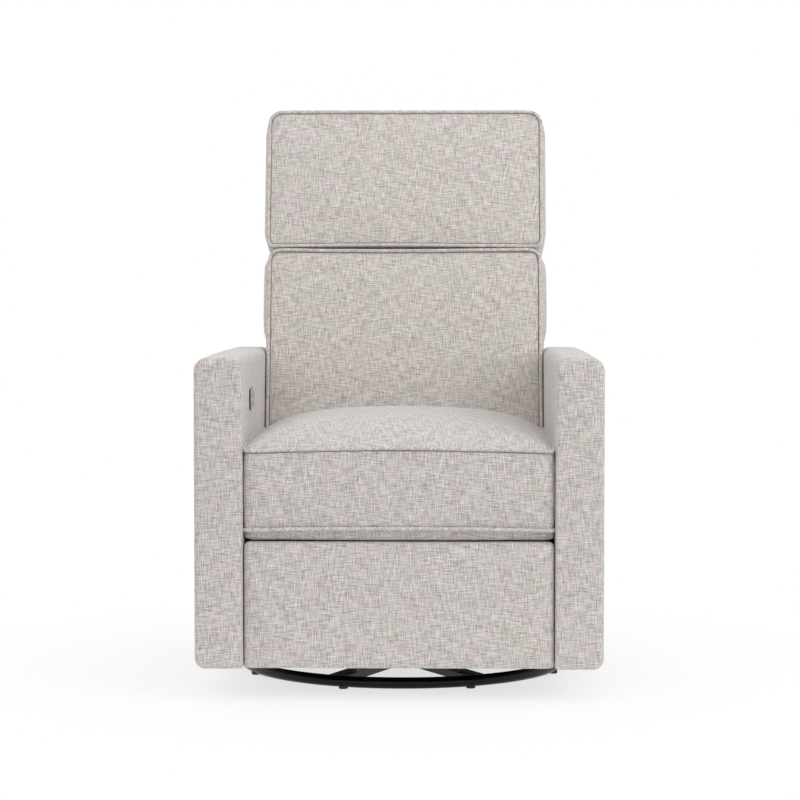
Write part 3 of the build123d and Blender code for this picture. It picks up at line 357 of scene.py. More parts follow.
def stack(name, rings):
    """A closed form through a list of rings of equally many points, closed by a fan at each end."""
    count = len(rings[0])
    points = [point for ring in rings for point in ring]
    faces = []
    for level in range(len(rings) - 1):
        for k in range(count):
            nxt = (k + 1) % count
            a, b = level * count + k, level * count + nxt
            faces.append((a, b, b + count, a + count))
    for level, flip in ((0, True), (len(rings) - 1, False)):
        middle = sum((Vector(p) for p in rings[level]), Vector()) / count
        points.append(middle)
        for k in range(count):
            triangle = (level * count + k, level * count + (k + 1) % count, len(points) - 1)
            faces.append(tuple(reversed(triangle)) if flip else triangle)
    piece = new_piece(name, points, faces)
    form = bmesh.new()
    form.from_mesh(piece.data)
    bmesh.ops.recalc_face_normals(form, faces=form.faces)
    form.to_mesh(piece.data)
    form.free()
    return piece


# %% [markdown]
# ## Swelling the cloth
# Foam pushes the cover out everywhere except at the seams. Blender's Cloth can do the same: the form is
# remeshed into even faces, the points near a seam or against wood are pinned, and a little air pressure
# blows the rest out for a few frames with gravity off. How far a point may move is capped, so that the
# cushion keeps its size. A light smoothing then takes out the remesh's ripple, and one subdivision rounds
# the faces.

# %% Swelling by cloth simulation
VOXEL = 8.0 * MM
SIM_FRAMES = 14
SEAM_HOLD = 6.0 * MM


def even_faces(piece, voxel):
    """Replace the mesh by its voxel remesh, in even small faces."""
    remesh = piece.modifiers.new("even_faces", "REMESH")
    remesh.mode = "VOXEL"
    remesh.voxel_size = voxel
    remesh.use_smooth_shade = True
    bake_modifiers(piece)


def bake_modifiers(piece):
    """Turn what the modifiers show into the piece's own mesh."""
    shown = piece.evaluated_get(bpy.context.evaluated_depsgraph_get())
    mesh = bpy.data.meshes.new_from_object(shown)
    piece.modifiers.clear()
    old = piece.data
    piece.data = mesh
    bpy.data.meshes.remove(old)
    if not mesh.materials:
        mesh.materials.append(upholstery)


def cut_pocket(piece, low, high, place):
    """Cut a box-shaped pocket out of a finished cover. low and high are its (across, depth, up) corners."""
    corners = ((low[0], low[1]), (high[0], low[1]), (high[0], high[1]), (low[0], high[1]))
    block = stack("pocket_block", [[place(x, v, w) for x, v in corners] for w in (low[2], high[2])])
    cut = piece.modifiers.new("pocket", "BOOLEAN")
    cut.operation = "DIFFERENCE"
    cut.solver = "EXACT"
    cut.object = block
    bake_modifiers(piece)
    bpy.data.objects.remove(block)


def near_paths(piece, paths, reach):
    """The indices of the points that lie within reach of any of the paths."""
    dots = [p for path in paths for p in path]
    tree = kdtree.KDTree(len(dots))
    for index, dot in enumerate(dots):
        tree.insert(dot, index)
    tree.balance()
    return {v.index for v in piece.data.vertices if tree.find(v.co)[2] < reach}


def swell(piece, seams, rests, cap, pressure=4.0, voxel=VOXEL):
    """Blow the cover up between its seams. rests(point) is true where the form lies against something."""
    even_faces(piece, voxel)
    held = near_paths(piece, seams, SEAM_HOLD) if seams else set()
    held |= {v.index for v in piece.data.vertices if rests(v.co)}
    start = [v.co.copy() for v in piece.data.vertices]
    group = piece.vertex_groups.new(name="held")
    group.add(list(held), 1.0, "REPLACE")
    cloth = piece.modifiers.new("cover", "CLOTH")
    cloth.settings.quality = 4
    cloth.settings.mass = 0.25
    cloth.settings.bending_stiffness = 2.0
    cloth.settings.use_pressure = True
    cloth.settings.uniform_pressure_force = pressure
    cloth.settings.vertex_group_mass = "held"
    cloth.settings.effector_weights.gravity = 0.0
    cloth.point_cache.frame_start = 1
    cloth.point_cache.frame_end = SIM_FRAMES
    for number in range(1, SIM_FRAMES + 1):
        bpy.context.scene.frame_set(number)
    shown = piece.evaluated_get(bpy.context.evaluated_depsgraph_get())
    moved = [v.co.copy() for v in shown.data.vertices]
    piece.modifiers.clear()
    bpy.context.scene.frame_set(1)
    for vertex, before, after in zip(piece.data.vertices, start, moved):
        step = after - before
        if step.length > cap:
            step *= cap / step.length
        vertex.co = before + step
    smooth_free_points(piece, held)
    piece.vertex_groups.clear()
    subdivide = piece.modifiers.new("round", "SUBSURF")
    subdivide.levels = subdivide.render_levels = 1
    far = max((v.co - b).length for v, b in zip(piece.data.vertices, start))
    print(piece.name, len(piece.data.vertices), "points, moved up to", round(far / MM, 1), "mm")


def smooth_free_points(piece, held, rounds=3):
    """Even out the small ripple of the free points, leaving the held ones."""
    form = bmesh.new()
    form.from_mesh(piece.data)
    form.verts.ensure_lookup_table()
    free = [v for v in form.verts if v.index not in held]
    for _ in range(rounds):
        bmesh.ops.smooth_vert(form, verts=free, factor=0.5, use_axis_x=True, use_axis_y=True, use_axis_z=True)
    form.to_mesh(piece.data)
    form.free()


# %% [markdown]
# ## Laying the weave
# The weave follows the cut of the cloth: threads run level and upright on a front or side panel, and front
# to back on a top. A box projection does that with no unwrapping: each face takes its two coordinates, in
# metres, from the pair of axes that it faces least. Pieces on the back use the leaning axes.

# %% Weave coordinates
LEAN_AXES = (
    Vector((1, 0, 0)),
    Vector((0, math.cos(BACK_LEAN), -math.sin(BACK_LEAN))),
    Vector((0, math.sin(BACK_LEAN), math.cos(BACK_LEAN))),
)
SQUARE_AXES = (Vector((1, 0, 0)), Vector((0, 1, 0)), Vector((0, 0, 1)))


def lay_weave(piece, axes):
    """Give each face weave coordinates in metres along the two axes that it faces least."""
    mesh = piece.data
    layer = mesh.uv_layers.get("weave") or mesh.uv_layers.new(name="weave")
    for polygon in mesh.polygons:
        facing = [abs(polygon.normal.dot(axis)) for axis in axes]
        away = facing.index(max(facing))
        across, up = [axes[k] for k in range(3) if k != away]
        for corner in polygon.loop_indices:
            point = mesh.vertices[mesh.loops[corner].vertex_index].co
            layer.data[corner].uv = (point.dot(across), point.dot(up) + away)


def dress(piece, body, node, axes):
    """Put a padded piece on its body in place of its plain solid."""
    lay_weave(piece, axes)
    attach(piece, body)
    if node:
        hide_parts(node)


# %% [markdown]
# ## Welts
# A welt is a cord wrapped in a strip of the same cloth and sewn into a seam. It is a tube laid along the
# seam's path: each point of the path is dropped towards the swollen surface and lifted by part of the welt's
# radius, so that the tube sits in its seam as the real one does. Beside it runs a thin grey-brown tube, which
# is painted shade: it stands for the shadowed groove where the cloth dips in at the seam.

# %% Welt tubes
WELT_RADIUS = 3.6 * MM
WELT_SIDES = 10
SEAM_SHADOW_RADIUS = 1.0 * MM
SEAM_SHADOW_OFFSET = 4.0 * MM
SETTLE_REACH = 1.5 * MM
WELT_LIFT = 0.4 * WELT_RADIUS
SEAM_SHADOW_LIFT = 0.3 * SEAM_SHADOW_RADIUS


def settle(path, surface, lift):
    """Drop a closed path a little towards a surface, lift it along the normal, then ease it."""
    form = bmesh.new()
    form.from_mesh(surface.data)
    near = BVHTree.FromBMesh(form)
    dropped = []
    for point in path:
        place, normal, _, _ = near.find_nearest(point)
        step = place - point
        if step.length > SETTLE_REACH:
            step *= SETTLE_REACH / step.length
        dropped.append(point + step + normal * lift)
    form.free()
    count = len(dropped)
    for _ in range(2):
        dropped = [
            (dropped[k - 1] + dropped[k] * 2 + dropped[(k + 1) % count]) / 4 for k in range(count)
        ]
    return dropped


def welt(name, path, body, radius=WELT_RADIUS):
    """A piped seam along a closed path."""
    count = len(path)
    points, faces = [], []
    side = None
    for k in range(count):
        ahead = (path[(k + 1) % count] - path[k - 1]).normalized()
        if side is None:
            side = ahead.orthogonal().normalized()
        side = (side - ahead * side.dot(ahead)).normalized()
        other = ahead.cross(side)
        for step in range(WELT_SIDES):
            angle = 2 * math.pi * step / WELT_SIDES
            points.append(path[k] + (side * math.cos(angle) + other * math.sin(angle)) * radius)
    last, first = points[-WELT_SIDES], points[:WELT_SIDES]
    shift = min(range(WELT_SIDES), key=lambda s: (first[s] - last).length)
    for k in range(count):
        turn = shift if k == count - 1 else 0
        for step in range(WELT_SIDES):
            a = k * WELT_SIDES + step
            b = k * WELT_SIDES + (step + 1) % WELT_SIDES
            following = ((k + 1) % count) * WELT_SIDES
            c = following + (step + 1 + turn) % WELT_SIDES
            d = following + (step + turn) % WELT_SIDES
            faces.append((a, b, c, d))
    piece = new_piece(name, points, faces)
    wrap_weave(piece, path)
    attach(piece, body)
    return piece


def inward(path, facing):
    """Unit steps from the points of a closed path to its inside, square to the way its panel faces."""
    count = len(path)
    steps = [facing.cross(path[(k + 1) % count] - path[k - 1]).normalized() for k in range(count)]
    middle = sum(path, Vector()) / count
    turned = -1 if steps[0].dot(middle - path[0]) < 0 else 1
    return [step * turned for step in steps]


def seam_shadow_line(name, path, steps, surface, body):
    """A thin dark tube beside a welt, one step away from each point of its path: painted shade for the seam's
    groove.
    """
    beside = [point + step * SEAM_SHADOW_OFFSET for point, step in zip(path, steps)]
    sunk = settle(settle(beside, surface, 0.0), surface, SEAM_SHADOW_LIFT)
    piece = welt(name, sunk, body, radius=SEAM_SHADOW_RADIUS)
    # The tube takes the painted seam shadow colour.
    piece.data.materials.clear()
    piece.data.materials.append(seam_shadow_finish)


def wrap_weave(piece, path):
    """Weave coordinates along and round a welt, whose strip is cut on the bias."""
    mesh = piece.data
    layer = mesh.uv_layers.new(name="weave")
    run = [0.0]
    for a, b in zip(path, path[1:]):
        run.append(run[-1] + (b - a).length)
    girth = 2 * math.pi * WELT_RADIUS / WELT_SIDES
    for polygon in mesh.polygons:
        for corner in polygon.loop_indices:
            index = mesh.loops[corner].vertex_index
            along, round_it = run[index // WELT_SIDES], (index % WELT_SIDES) * girth
            layer.data[corner].uv = (0.7 * (along + round_it), 0.7 * (along - round_it))


# %% [markdown]
# ## Headrest
# The headrest is a boxed cushion with one welt round its front panel. Its boxing swells out past the welt,
# which is why the welt shows a few millimetres inside the outline in the picture. Its lower edge arches up a
# little in the middle, where a dark slit shows over the back, and comes close to the back at the ends. Two
# narrow pockets in its underside leave room for the hinge arms, which come up from the back and stay behind
# when the headrest tilts. The front part of each pocket is closed below, and its mouth starts well behind
# the welt, so that it doesn't show from the front.

# %% Headrest cushion
HEAD_LOW, HEAD_TOP = 535.5 * MM, 830 * MM
HEAD_HALF = 287.5 * MM
HEAD_FRONT, HEAD_REAR = -186 * MM, 12 * MM
HEAD_CROWN, HEAD_REAR_CROWN = 5 * MM, 3 * MM
HEAD_RADII = (14 * MM, 25 * MM, 25 * MM, 14 * MM)
SLIT_ARCH = 2.6 * MM
SLIT_SKEW = 0.35
HINGE_PLATE, POCKET_ROOM = 4 * MM, 1 * MM
POCKET_FRONT, POCKET_MOUTH, POCKET_REAR = -181 * MM, -160 * MM, -5 * MM
POCKET_FLOOR, POCKET_TOP = 540 * MM, 570 * MM
PANEL_STEPS = (0.12, 0.3, 0.5, 0.68, 0.82, 0.92, 0.975)


def grown(low, high, radii, grow):
    """An outline grown on all sides, with its corner radii grown alike."""
    return rounded_outline(
        (low[0] - grow, low[1] - grow), (high[0] + grow, high[1] + grow),
        [max(r + grow, 3 * MM) for r in radii],
    )


def boxed_rings(outline_at, place, front, crown, boxing, rear_step):
    """Rings of a boxed cushion: front panel, boxing as (depth, grow) pairs, then a flat rear."""
    seam = outline_at(0.0)
    middle = [sum(p[k] for p in seam) / len(seam) for k in (0, 1)]
    rings = []
    for share in PANEL_STEPS:
        depth = front - crown * (1 - share ** 4)
        rings.append([
            place(middle[0] + (p[0] - middle[0]) * share, depth, middle[1] + (p[1] - middle[1]) * share)
            for p in seam
        ])
    rings.append([place(p[0], front, p[1]) for p in seam])
    for depth, grow in boxing:
        rings.append([place(p[0], depth, p[1]) for p in outline_at(grow)])
    rear, grow = boxing[-1]
    for share in (0.9, 0.5):
        depth = rear + rear_step * (1 - share)
        rings.append([
            place(middle[0] + (p[0] - middle[0]) * share, depth, middle[1] + (p[1] - middle[1]) * share)
            for p in outline_at(grow)
        ])
    return rings


def slit_arch(share):
    """How far each cushion's edge draws back from the slit between headrest and back."""
    return SLIT_ARCH * max(1 - share ** 2, 0.0) * (1 - SLIT_SKEW * share)


def head_outline(grow):
    """The headrest's outline, its lower edge arched in the middle and kept from swelling downwards."""
    points = grown((-HEAD_HALF, HEAD_LOW), (HEAD_HALF, HEAD_TOP), HEAD_RADII, grow)
    middle = (HEAD_LOW + HEAD_TOP) / 2
    shaped = []
    for x, w in points:
        shaped.append((x, max(w, HEAD_LOW) + slit_arch(x / HEAD_HALF) if w < middle else w))
    return shaped


head_boxing = [
    (HEAD_FRONT + 3 * MM, 3 * MM), (HEAD_FRONT + 10 * MM, 5 * MM), (HEAD_FRONT + 22 * MM, 6 * MM),
    (HEAD_FRONT + 60 * MM, 7 * MM), (HEAD_REAR - 60 * MM, 7 * MM), (HEAD_REAR - 22 * MM, 5 * MM),
    (HEAD_REAR - 6 * MM, 0.0), (HEAD_REAR, -12 * MM),
]
head_rings = boxed_rings(head_outline, on_back, HEAD_FRONT, HEAD_CROWN, head_boxing, HEAD_REAR_CROWN)
head_seam = [on_back(p[0], HEAD_FRONT, p[1]) for p in head_outline(0.0)]
headrest = stack("headrest_cover", head_rings)
swell(headrest, [head_seam], lambda p: False, cap=4 * MM)
arm_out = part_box("headrest_hinge_arms")[1].x
ear_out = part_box("headrest_hinge_ears")[1].x
for side in (-1, 1):
    across = sorted((side * (arm_out - HINGE_PLATE - POCKET_ROOM), side * (ear_out + POCKET_ROOM)))
    for front, floor in ((POCKET_FRONT, POCKET_FLOOR), (POCKET_MOUTH, HEAD_LOW - 40 * MM)):
        cut_pocket(headrest, (across[0], front, floor), (across[1], POCKET_REAR, POCKET_TOP), on_back)
dress(headrest, "headrest", "headrest_cushion", LEAN_AXES)
head_welt = settle(head_seam, headrest, WELT_LIFT)
welt("headrest_welt", head_welt, "headrest")
# A thin dark tube beside the headrest's welt, painted shade for the seam's groove.
seam_shadow_line("headrest_seam_shadow", head_seam, inward(head_seam, LEAN_AXES[1]), headrest, "headrest")

# %% [markdown]
# ## Back
# The back is built like the headrest. Its seam runs straight down, but only above the arms does the boxing
# have room to swell out fully past it, so its growth eases from less than half to its full value at the
# height where the arms end. Behind its top seam the back dips, so that the headrest's lower edge can turn
# down there.

# %% Back cushion
BACK_LOW, BACK_TOP = 24 * MM, 528.7 * MM
BACK_HALF = 284 * MM
SHOULDER_LOW, SHOULDER_HIGH = 335 * MM, 375 * MM
BACK_FRONT, BACK_REAR = -186 * MM, -37.5 * MM
BACK_CROWN = 4 * MM
BACK_RADII = (12 * MM, 22 * MM, 22 * MM, 12 * MM)
WAIST_SHARE = 0.42
TOP_EASE = 8 * MM


def shoulder_room(w):
    """The share of its swelling that the boxing has room for at a height w."""
    t = min(max((w - SHOULDER_LOW) / (SHOULDER_HIGH - SHOULDER_LOW), 0.0), 1.0)
    return WAIST_SHARE + (1 - WAIST_SHARE) * t * t * (3 - 2 * t)


def back_outline(grow):
    """The back's outline, grown sideways above the arms and dipped along its top."""
    points = grown((-BACK_HALF, BACK_LOW), (BACK_HALF, BACK_TOP), BACK_RADII, 0.0)
    shaped = []
    for x, w in points:
        share = x / BACK_HALF
        height = max((w - SHOULDER_HIGH) / (BACK_TOP - SHOULDER_HIGH), 0.0)
        eased = TOP_EASE * min(max((grow - 4 * MM) / (6 * MM), 0.0), 1.0)
        dip = (slit_arch(share) if height else 0.0) + eased * height
        shaped.append((share * (BACK_HALF + grow * shoulder_room(w)), w - dip))
    return shaped


back_boxing = [
    (BACK_FRONT + 3 * MM, 5 * MM), (BACK_FRONT + 10 * MM, 9 * MM), (BACK_FRONT + 22 * MM, 12 * MM),
    (BACK_FRONT + 60 * MM, 14 * MM), (BACK_REAR - 30 * MM, 11 * MM), (BACK_REAR - 8 * MM, 6 * MM),
    (BACK_REAR, 0.0),
]
back_rings = boxed_rings(back_outline, on_back, BACK_FRONT, BACK_CROWN, back_boxing, 0.0)
back_seam = [on_back(p[0], BACK_FRONT, p[1]) for p in back_outline(0.0)]
back = stack("back_cushion_cover", back_rings)
back_rear_plane = on_back(0, BACK_REAR - 8 * MM, 0)


def against_frame(point):
    """True for points that lie against the wooden frame behind the back cushion."""
    return (point - back_rear_plane).dot(LEAN_AXES[1]) > 0


swell(back, [back_seam], against_frame, cap=3 * MM)
dress(back, "back", "back_cushion", LEAN_AXES)
welt("back_welt", settle(back_seam, back, WELT_LIFT), "back")
# A thin dark tube beside the back's welt, painted shade for the seam's groove.
seam_shadow_line("back_seam", back_seam, inward(back_seam, LEAN_AXES[1]), back, "back")

# %% [markdown]
# ## Seat
# The seat is the fullest cushion. Its boxing shows in front between two welts, and its top is a crown of
# deep foam that rises well above the upper welt. It is a stack of level rings: the underside, the boxing and
# then a dome whose height follows a flat-topped curve. The rear leans with the back.

# %% Seat cushion
SEAT_HALF = 289.0 * MM
SEAT_FRONT = seat_low.y + 5 * MM
SEAT_UNDER = panel_high.z
BAND_SETBACK = 14 * MM
BAND_REACH = 12 * MM
BAND_DROP = 4 * MM
LOWER_WELT_Z, UPPER_WELT_Z = 320 * MM, 466 * MM
LOWER_WELT_RISE, UPPER_WELT_RISE = 4 * MM, 6 * MM
LOWER_WELT_LIFT = 0.8 * WELT_RADIUS
SEAT_BOW, FRONT_SWELL = 3 * MM, 2.5 * MM
SEAT_CROWN = 60 * MM
SIDE_RISE, SIDE_RISE_RUN = 10 * MM, 110 * MM
SEAT_RADII = (18 * MM, 10 * MM, 10 * MM, 18 * MM)
SEAT_TO_BACK = -196 * MM


def seat_rear(z):
    """How far back the seat reaches at a height, where it meets the leaning back."""
    w = (z - HINGE.z + SEAT_TO_BACK * math.sin(BACK_LEAN)) / math.cos(BACK_LEAN)
    return HINGE.y + SEAT_TO_BACK * math.cos(BACK_LEAN) + w * math.sin(BACK_LEAN)


def seat_outline(z, grow=0.0):
    """The seat's plan at a height: x across and y from front to rear, bowed a little in front."""
    rear = seat_rear(z)
    points = grown((-SEAT_HALF, SEAT_FRONT), (SEAT_HALF, rear), SEAT_RADII, grow)
    half_depth = (SEAT_FRONT + rear) / 2
    return [(x, y - (SEAT_BOW * (1 - (x / SEAT_HALF) ** 2) if y < half_depth else 0.0)) for x, y in points]


def welt_rise(x, height):
    """Seams rise in step with the fullness of the cushion's front."""
    return height * (1 - (x / SEAT_HALF) ** 2)


def edge_rise(x, y):
    """How far the seat's upper edge rises: in the middle of the front, and soon behind its front corners."""
    t = min(max((y - SEAT_FRONT) / SIDE_RISE_RUN, 0.0), 1.0)
    return welt_rise(x, UPPER_WELT_RISE) + SIDE_RISE * t * (2 - t)


def under_band(x, y, z):
    """A point of the band below the lower welt, which is set back and hangs lower along the front."""
    in_front = y < SEAT_FRONT + BAND_REACH
    if not in_front:
        return Vector((x, y, max(z, seat_low.z)))
    return Vector((x, y + BAND_SETBACK, z))


seat_rings = [
    [Vector((x, y, seat_low.z)) for x, y in seat_outline(seat_low.z, -50 * MM)],
    [under_band(x, y, SEAT_UNDER) for x, y in seat_outline(SEAT_UNDER, -3 * MM)],
    [under_band(x, y, SEAT_UNDER + 3 * MM) for x, y in seat_outline(SEAT_UNDER, 0.0)],
    [
        under_band(x, y, LOWER_WELT_Z - BAND_DROP + welt_rise(x, LOWER_WELT_RISE))
        for x, y in seat_outline(LOWER_WELT_Z)
    ],
    [Vector((x, y, LOWER_WELT_Z + welt_rise(x, LOWER_WELT_RISE))) for x, y in seat_outline(LOWER_WELT_Z)],
]
lower_seam = list(seat_rings[-1])
for share in (0.06, 0.2, 0.5, 0.8, 0.94):
    z = LOWER_WELT_Z + (UPPER_WELT_Z - LOWER_WELT_Z) * share
    swell_out = FRONT_SWELL * math.sin(math.pi * share)
    seat_rings.append([
        Vector((x, y, z + welt_rise(x, LOWER_WELT_RISE) * (1 - share) + edge_rise(x, y) * share))
        for x, y in seat_outline(z, swell_out)
    ])
top_plan = seat_outline(UPPER_WELT_Z)
upper_seam = [Vector((x, y, UPPER_WELT_Z + edge_rise(x, y))) for x, y in top_plan]
seat_rings.append(upper_seam)
middle_y = (SEAT_FRONT + seat_rear(UPPER_WELT_Z)) / 2
for share in (0.97, 0.92, 0.84, 0.74, 0.6, 0.42, 0.22, 0.08):
    rise = SEAT_CROWN * (1 - share ** 2.6) ** 0.8
    lean = rise * math.tan(BACK_LEAN)
    seat_rings.append([
        Vector((
            x * share,
            middle_y + (y - middle_y) * share + (lean if y > middle_y else 0.0),
            UPPER_WELT_Z + rise + edge_rise(x, y) * share,
        ))
        for x, y in top_plan
    ])
seat = stack("seat_cushion_cover", seat_rings)


def on_webbing(point):
    """True for the underside of the seat and the band below its lower welt."""
    return point.z < LOWER_WELT_Z - 6 * MM


swell(seat, [lower_seam, upper_seam], on_webbing, cap=9 * MM)
dress(seat, "chassis", "seat_cushion", SQUARE_AXES)
welt("seat_upper_welt", settle(upper_seam, seat, WELT_LIFT), "chassis")
# A thin dark tube below the seat's upper welt, painted shade for the seam's groove.
below = [Vector((0, 0, -1))] * len(upper_seam)
seam_shadow_line("seat_upper_seam_shadow", upper_seam, below, seat, "chassis")
welt("seat_lower_welt", settle(lower_seam, seat, LOWER_WELT_LIFT), "chassis")

# %% [markdown]
# ## Arms
# An arm is a wooden frame under a thin pad, so its cover is nearly flat and only its edges are soft. It needs
# no simulation: one arm is a stack of upright outlines from front to rear, with rounded ends and a pad that
# is fullest in the middle of its length, and the other is its mirror image. The inner front edge is drawn
# tight beside the leg rest and rounder above the seat.

# %% Arms
ARM_RADII = (20 * MM, 26 * MM, 17 * MM, 6 * MM)
ARM_EDGE = 11 * MM
INNER_EDGE_SHARE = 0.35
ARM_TOP_SKIN, ARM_LOW_SKIN, ARM_OUTER_SKIN = 3.5 * MM, 0.4 * MM, 1.0 * MM
ARM_INNER_EASE = 1.5 * MM
ARM_PAD = 1.5 * MM
ARM_LENGTHS = 30
EDGE_ANGLES = (0, 15, 30, 45, 60, 75, 90)


def inner_edge(z):
    """The share of the rounding that the inner edge has at a height: little below the seat, all above."""
    t = min(max((z - UPPER_WELT_Z + 30 * MM) / (80 * MM), 0.0), 1.0)
    return INNER_EDGE_SHARE + (1 - INNER_EDGE_SHARE) * t * t * (3 - 2 * t)


def arm_outline(grow):
    """The arm's upright section, seen from the front. Its inner edges are sharper than its outer ones."""
    low = (arm_low.x + ARM_INNER_EASE, arm_low.z - ARM_LOW_SKIN)
    high = (arm_high.x + ARM_OUTER_SKIN, arm_high.z + ARM_TOP_SKIN)
    middle = (low[0] + high[0]) / 2
    shaped = []
    for x, z in grown(low, high, ARM_RADII, grow):
        eased = (1 - inner_edge(z)) * grow if x < middle and grow < 0 else 0.0
        shaped.append((x + eased, z))
    return shaped


def eased_ends(front, rear, edge, parts=1):
    """(depth, grow) pairs of a form with rounded front and rear edges, and more pairs between them."""
    pairs = []
    for angle in EDGE_ANGLES:
        turn = math.radians(angle)
        pairs.append((front + edge * (1 - math.sin(turn)), -edge * (1 - math.cos(turn))))
    straight = rear - front - 2 * edge
    between = [(front + edge + straight * k / parts, 0.0) for k in range(1, parts)]
    return pairs[::-1] + between + [(rear - (depth - front), grow) for depth, grow in pairs]


arm_rings = []
for y, grow in eased_ends(arm_low.y, arm_high.y, ARM_EDGE, ARM_LENGTHS):
    along = (y - arm_low.y) / (arm_high.y - arm_low.y)
    pad = ARM_PAD * math.sin(math.pi * along) if grow == 0.0 else 0.0
    arm_rings.append([Vector((x, y, z)) for x, z in arm_outline(grow + pad)])
arm_right = stack("arm_cover_right_padded", arm_rings)
subdivide = arm_right.modifiers.new("round", "SUBSURF")
subdivide.levels = subdivide.render_levels = 1
arm_left = arm_right.copy()
arm_left.data = arm_right.data.copy()
arm_left.name = "arm_cover_left_padded"
bpy.context.scene.collection.objects.link(arm_left)
for vertex in arm_left.data.vertices:
    vertex.co.x = -vertex.co.x
arm_left.data.flip_normals()
for piece, node in ((arm_right, "arm_cover_right"), (arm_left, "arm_cover_left")):
    dress(piece, "chassis", node, SQUARE_AXES)
print("arm covers", len(arm_right.data.vertices), "points each")

# %% [markdown]
# ## Leg rest, rear panel and the outside of the back
# These are boards with a thin pad and cloth pulled round them. Each is a stack of outlines along its depth.
# The leg rest's front swells a little; the other two stay nearly flat.

# %% Boards in cloth


def cloth_board(name, low, high, radius, edge, place, body, node, axes, cap, rests):
    """A padded board: low and high are (across, depth, up) corners."""
    rings = []
    for depth, grow in eased_ends(low[1], high[1], edge):
        outline = grown((low[0], low[2]), (high[0], high[2]), [radius] * 4, grow)
        rings.append([place(across, depth, up) for across, up in outline])
    piece = stack(name, rings)
    if cap:
        swell(piece, [], rests, cap=cap, pressure=2.0)
    else:
        piece.modifiers.new("even_shading", "WEIGHTED_NORMAL")
    dress(piece, body, node, axes)
    print(name, "over", node)


cloth_board(
    "legrest_cover", (panel_low.x - 3 * MM, panel_low.y + 2 * MM, panel_low.z - 1 * MM),
    (panel_high.x + 3 * MM, panel_high.y + 5 * MM, panel_high.z - 0.5 * MM), 4 * MM, 5 * MM, upright,
    "legrest_panel", "legrest_cushion", SQUARE_AXES, 4 * MM, lambda p: p.y > panel_low.y + 9 * MM,
)
rear_low, rear_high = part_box("rear_panel")
cloth_board(
    "rear_panel_cover", tuple(rear_low), tuple(rear_high), 3 * MM, 3 * MM, upright, "chassis", "rear_panel",
    SQUARE_AXES, 0, None,
)
cloth_board(
    "outside_back_cover", (-280 * MM, -36 * MM, 21 * MM), (280 * MM, 13 * MM, 532 * MM), 6 * MM, 5 * MM,
    on_back, "back", "back_cover", LEAN_AXES, 0, None,
)

# %% [markdown]
# ## Floor, light and camera
# The picture is a studio cut-out on white. The world shows white to the camera and to reflections, but
# lights the chair at a plain level, and four broad soft lamps shape it. The floor is pale and only takes the
# shadow. The camera stands 4.5 m in front of the arms at 0.78 m height, a little to the right, and looks
# slightly down at the chair. Its lens comes from the picture's scale.

# %% Floor and light
floor = new_piece("studio_floor", [(-8, -8, 0), (8, -8, 0), (8, 8, 0), (-8, 8, 0)], [(0, 1, 2, 3)])
floor_finish, floor_tree, floor_surface = new_finish("matt_white_floor", Roughness=0.9)
floor_surface.inputs["Base Color"].default_value = linear("#FAFAFA")
where = add_node(floor_tree, "ShaderNodeTexCoord").outputs["Object"]
distance = add_node(floor_tree, "ShaderNodeVectorMath", {0: where}, operation="LENGTH").outputs["Value"]
fade = add_node(floor_tree, "ShaderNodeMapRange", {
    "Value": distance, "From Min": 0.45, "From Max": 1.1,
}, interpolation_type="SMOOTHSTEP").outputs["Result"]
paper = add_node(floor_tree, "ShaderNodeBsdfTransparent")
glow = add_node(floor_tree, "ShaderNodeEmission", {"Color": (1, 1, 1, 1), "Strength": 1.0})
lit_from_below = add_node(floor_tree, "ShaderNodeMixShader", {
    0: 0.72, 1: floor_surface.outputs["BSDF"], 2: glow.outputs["Emission"],
})
faded = add_node(floor_tree, "ShaderNodeMixShader", {
    0: fade, 1: lit_from_below.outputs["Shader"], 2: paper.outputs["BSDF"],
})
floor_tree.links.new(faded.outputs["Shader"], floor_tree.nodes["Material Output"].inputs["Surface"])
floor.data.materials.clear()
floor.data.materials.append(floor_finish)

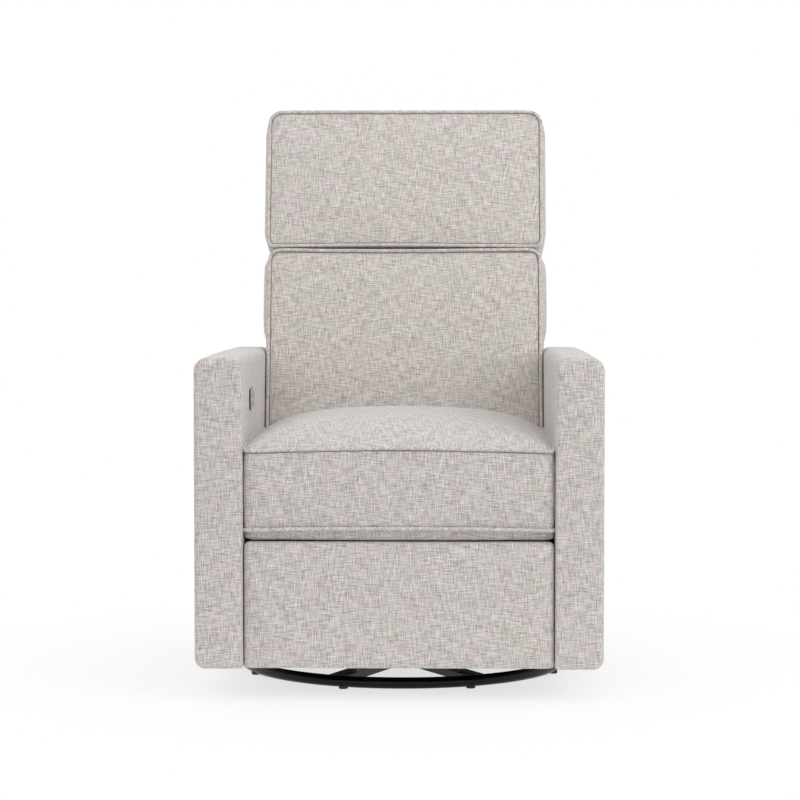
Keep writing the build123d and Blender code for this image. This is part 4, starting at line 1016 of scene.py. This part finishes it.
world = bpy.data.worlds.new("white_studio")
bpy.context.scene.world = world
world.use_nodes = True
sky = world.node_tree
sky.nodes.clear()
path = add_node(sky, "ShaderNodeLightPath")
seen = add_node(sky, "ShaderNodeMath", {
    0: path.outputs["Is Camera Ray"], 1: path.outputs["Is Glossy Ray"],
}, operation="MAXIMUM").outputs[0]
seen = add_node(sky, "ShaderNodeMath", {
    0: seen, 1: path.outputs["Is Transmission Ray"],
}, operation="MAXIMUM").outputs[0]
light = add_node(sky, "ShaderNodeBackground", {"Color": (1, 1, 1, 1), "Strength": 0.7})
white = add_node(sky, "ShaderNodeBackground", {"Color": (1, 1, 1, 1), "Strength": 1.0})
both = add_node(sky, "ShaderNodeMixShader", {
    0: seen, 1: light.outputs["Background"], 2: white.outputs["Background"],
})
add_node(sky, "ShaderNodeOutputWorld", {"Surface": both.outputs["Shader"]})


def soft_lamp(name, place, aim, size, watts):
    """A square soft lamp that points from its place to its aim."""
    lamp = bpy.data.lights.new(name, "AREA")
    lamp.size = size
    lamp.energy = watts
    holder = bpy.data.objects.new(name, lamp)
    holder.location = place
    holder.rotation_euler = (Vector(aim) - Vector(place)).to_track_quat("-Z", "Y").to_euler()
    bpy.context.scene.collection.objects.link(holder)
    print(name, watts, "W")


soft_lamp("overhead_softbox", (0.3, -0.4, 3.2), (0.0, 0.0, 0.5), 2.6, 16)
soft_lamp("right_front_softbox", (3.0, -2.4, 1.9), (0.0, 0.0, 0.5), 2.4, 48)
soft_lamp("left_front_softbox", (-1.7, -3.4, 2.2), (0.0, 0.0, 0.5), 2.4, 19)
soft_lamp("rear_softbox", (-0.6, 3.0, 2.0), (0.0, 0.0, 0.6), 2.4, 18)

# %% Camera
PICTURE = 800
MM_PER_PIXEL = 1.845
FRONT_DISTANCE = 4.5
CAMERA_HEIGHT = 0.783
CAMERA_SIDE = 0.09
FRONT_OFFSET = 0.0005
HORIZON_ROW = 280.3
SENSOR = 36.0
focal_pixels = FRONT_DISTANCE / (MM_PER_PIXEL * MM)
tilt = math.atan((PICTURE / 2 - HORIZON_ROW) / focal_pixels)
lens = bpy.data.cameras.new("picture_camera")
lens.sensor_width = SENSOR
lens.lens = focal_pixels / PICTURE * SENSOR
camera = bpy.data.objects.new("picture_camera", lens)
camera.location = (CAMERA_SIDE, arm_low.y - FRONT_DISTANCE, CAMERA_HEIGHT)
camera.rotation_euler = (math.pi / 2 - tilt, 0.0, math.atan(CAMERA_SIDE / FRONT_DISTANCE) - FRONT_OFFSET)
bpy.context.scene.collection.objects.link(camera)
bpy.context.scene.camera = camera
bpy.context.scene.view_settings.view_transform = "Standard"
print("lens", round(lens.lens, 1), "mm, tilt", round(math.degrees(tilt), 2), "degrees")
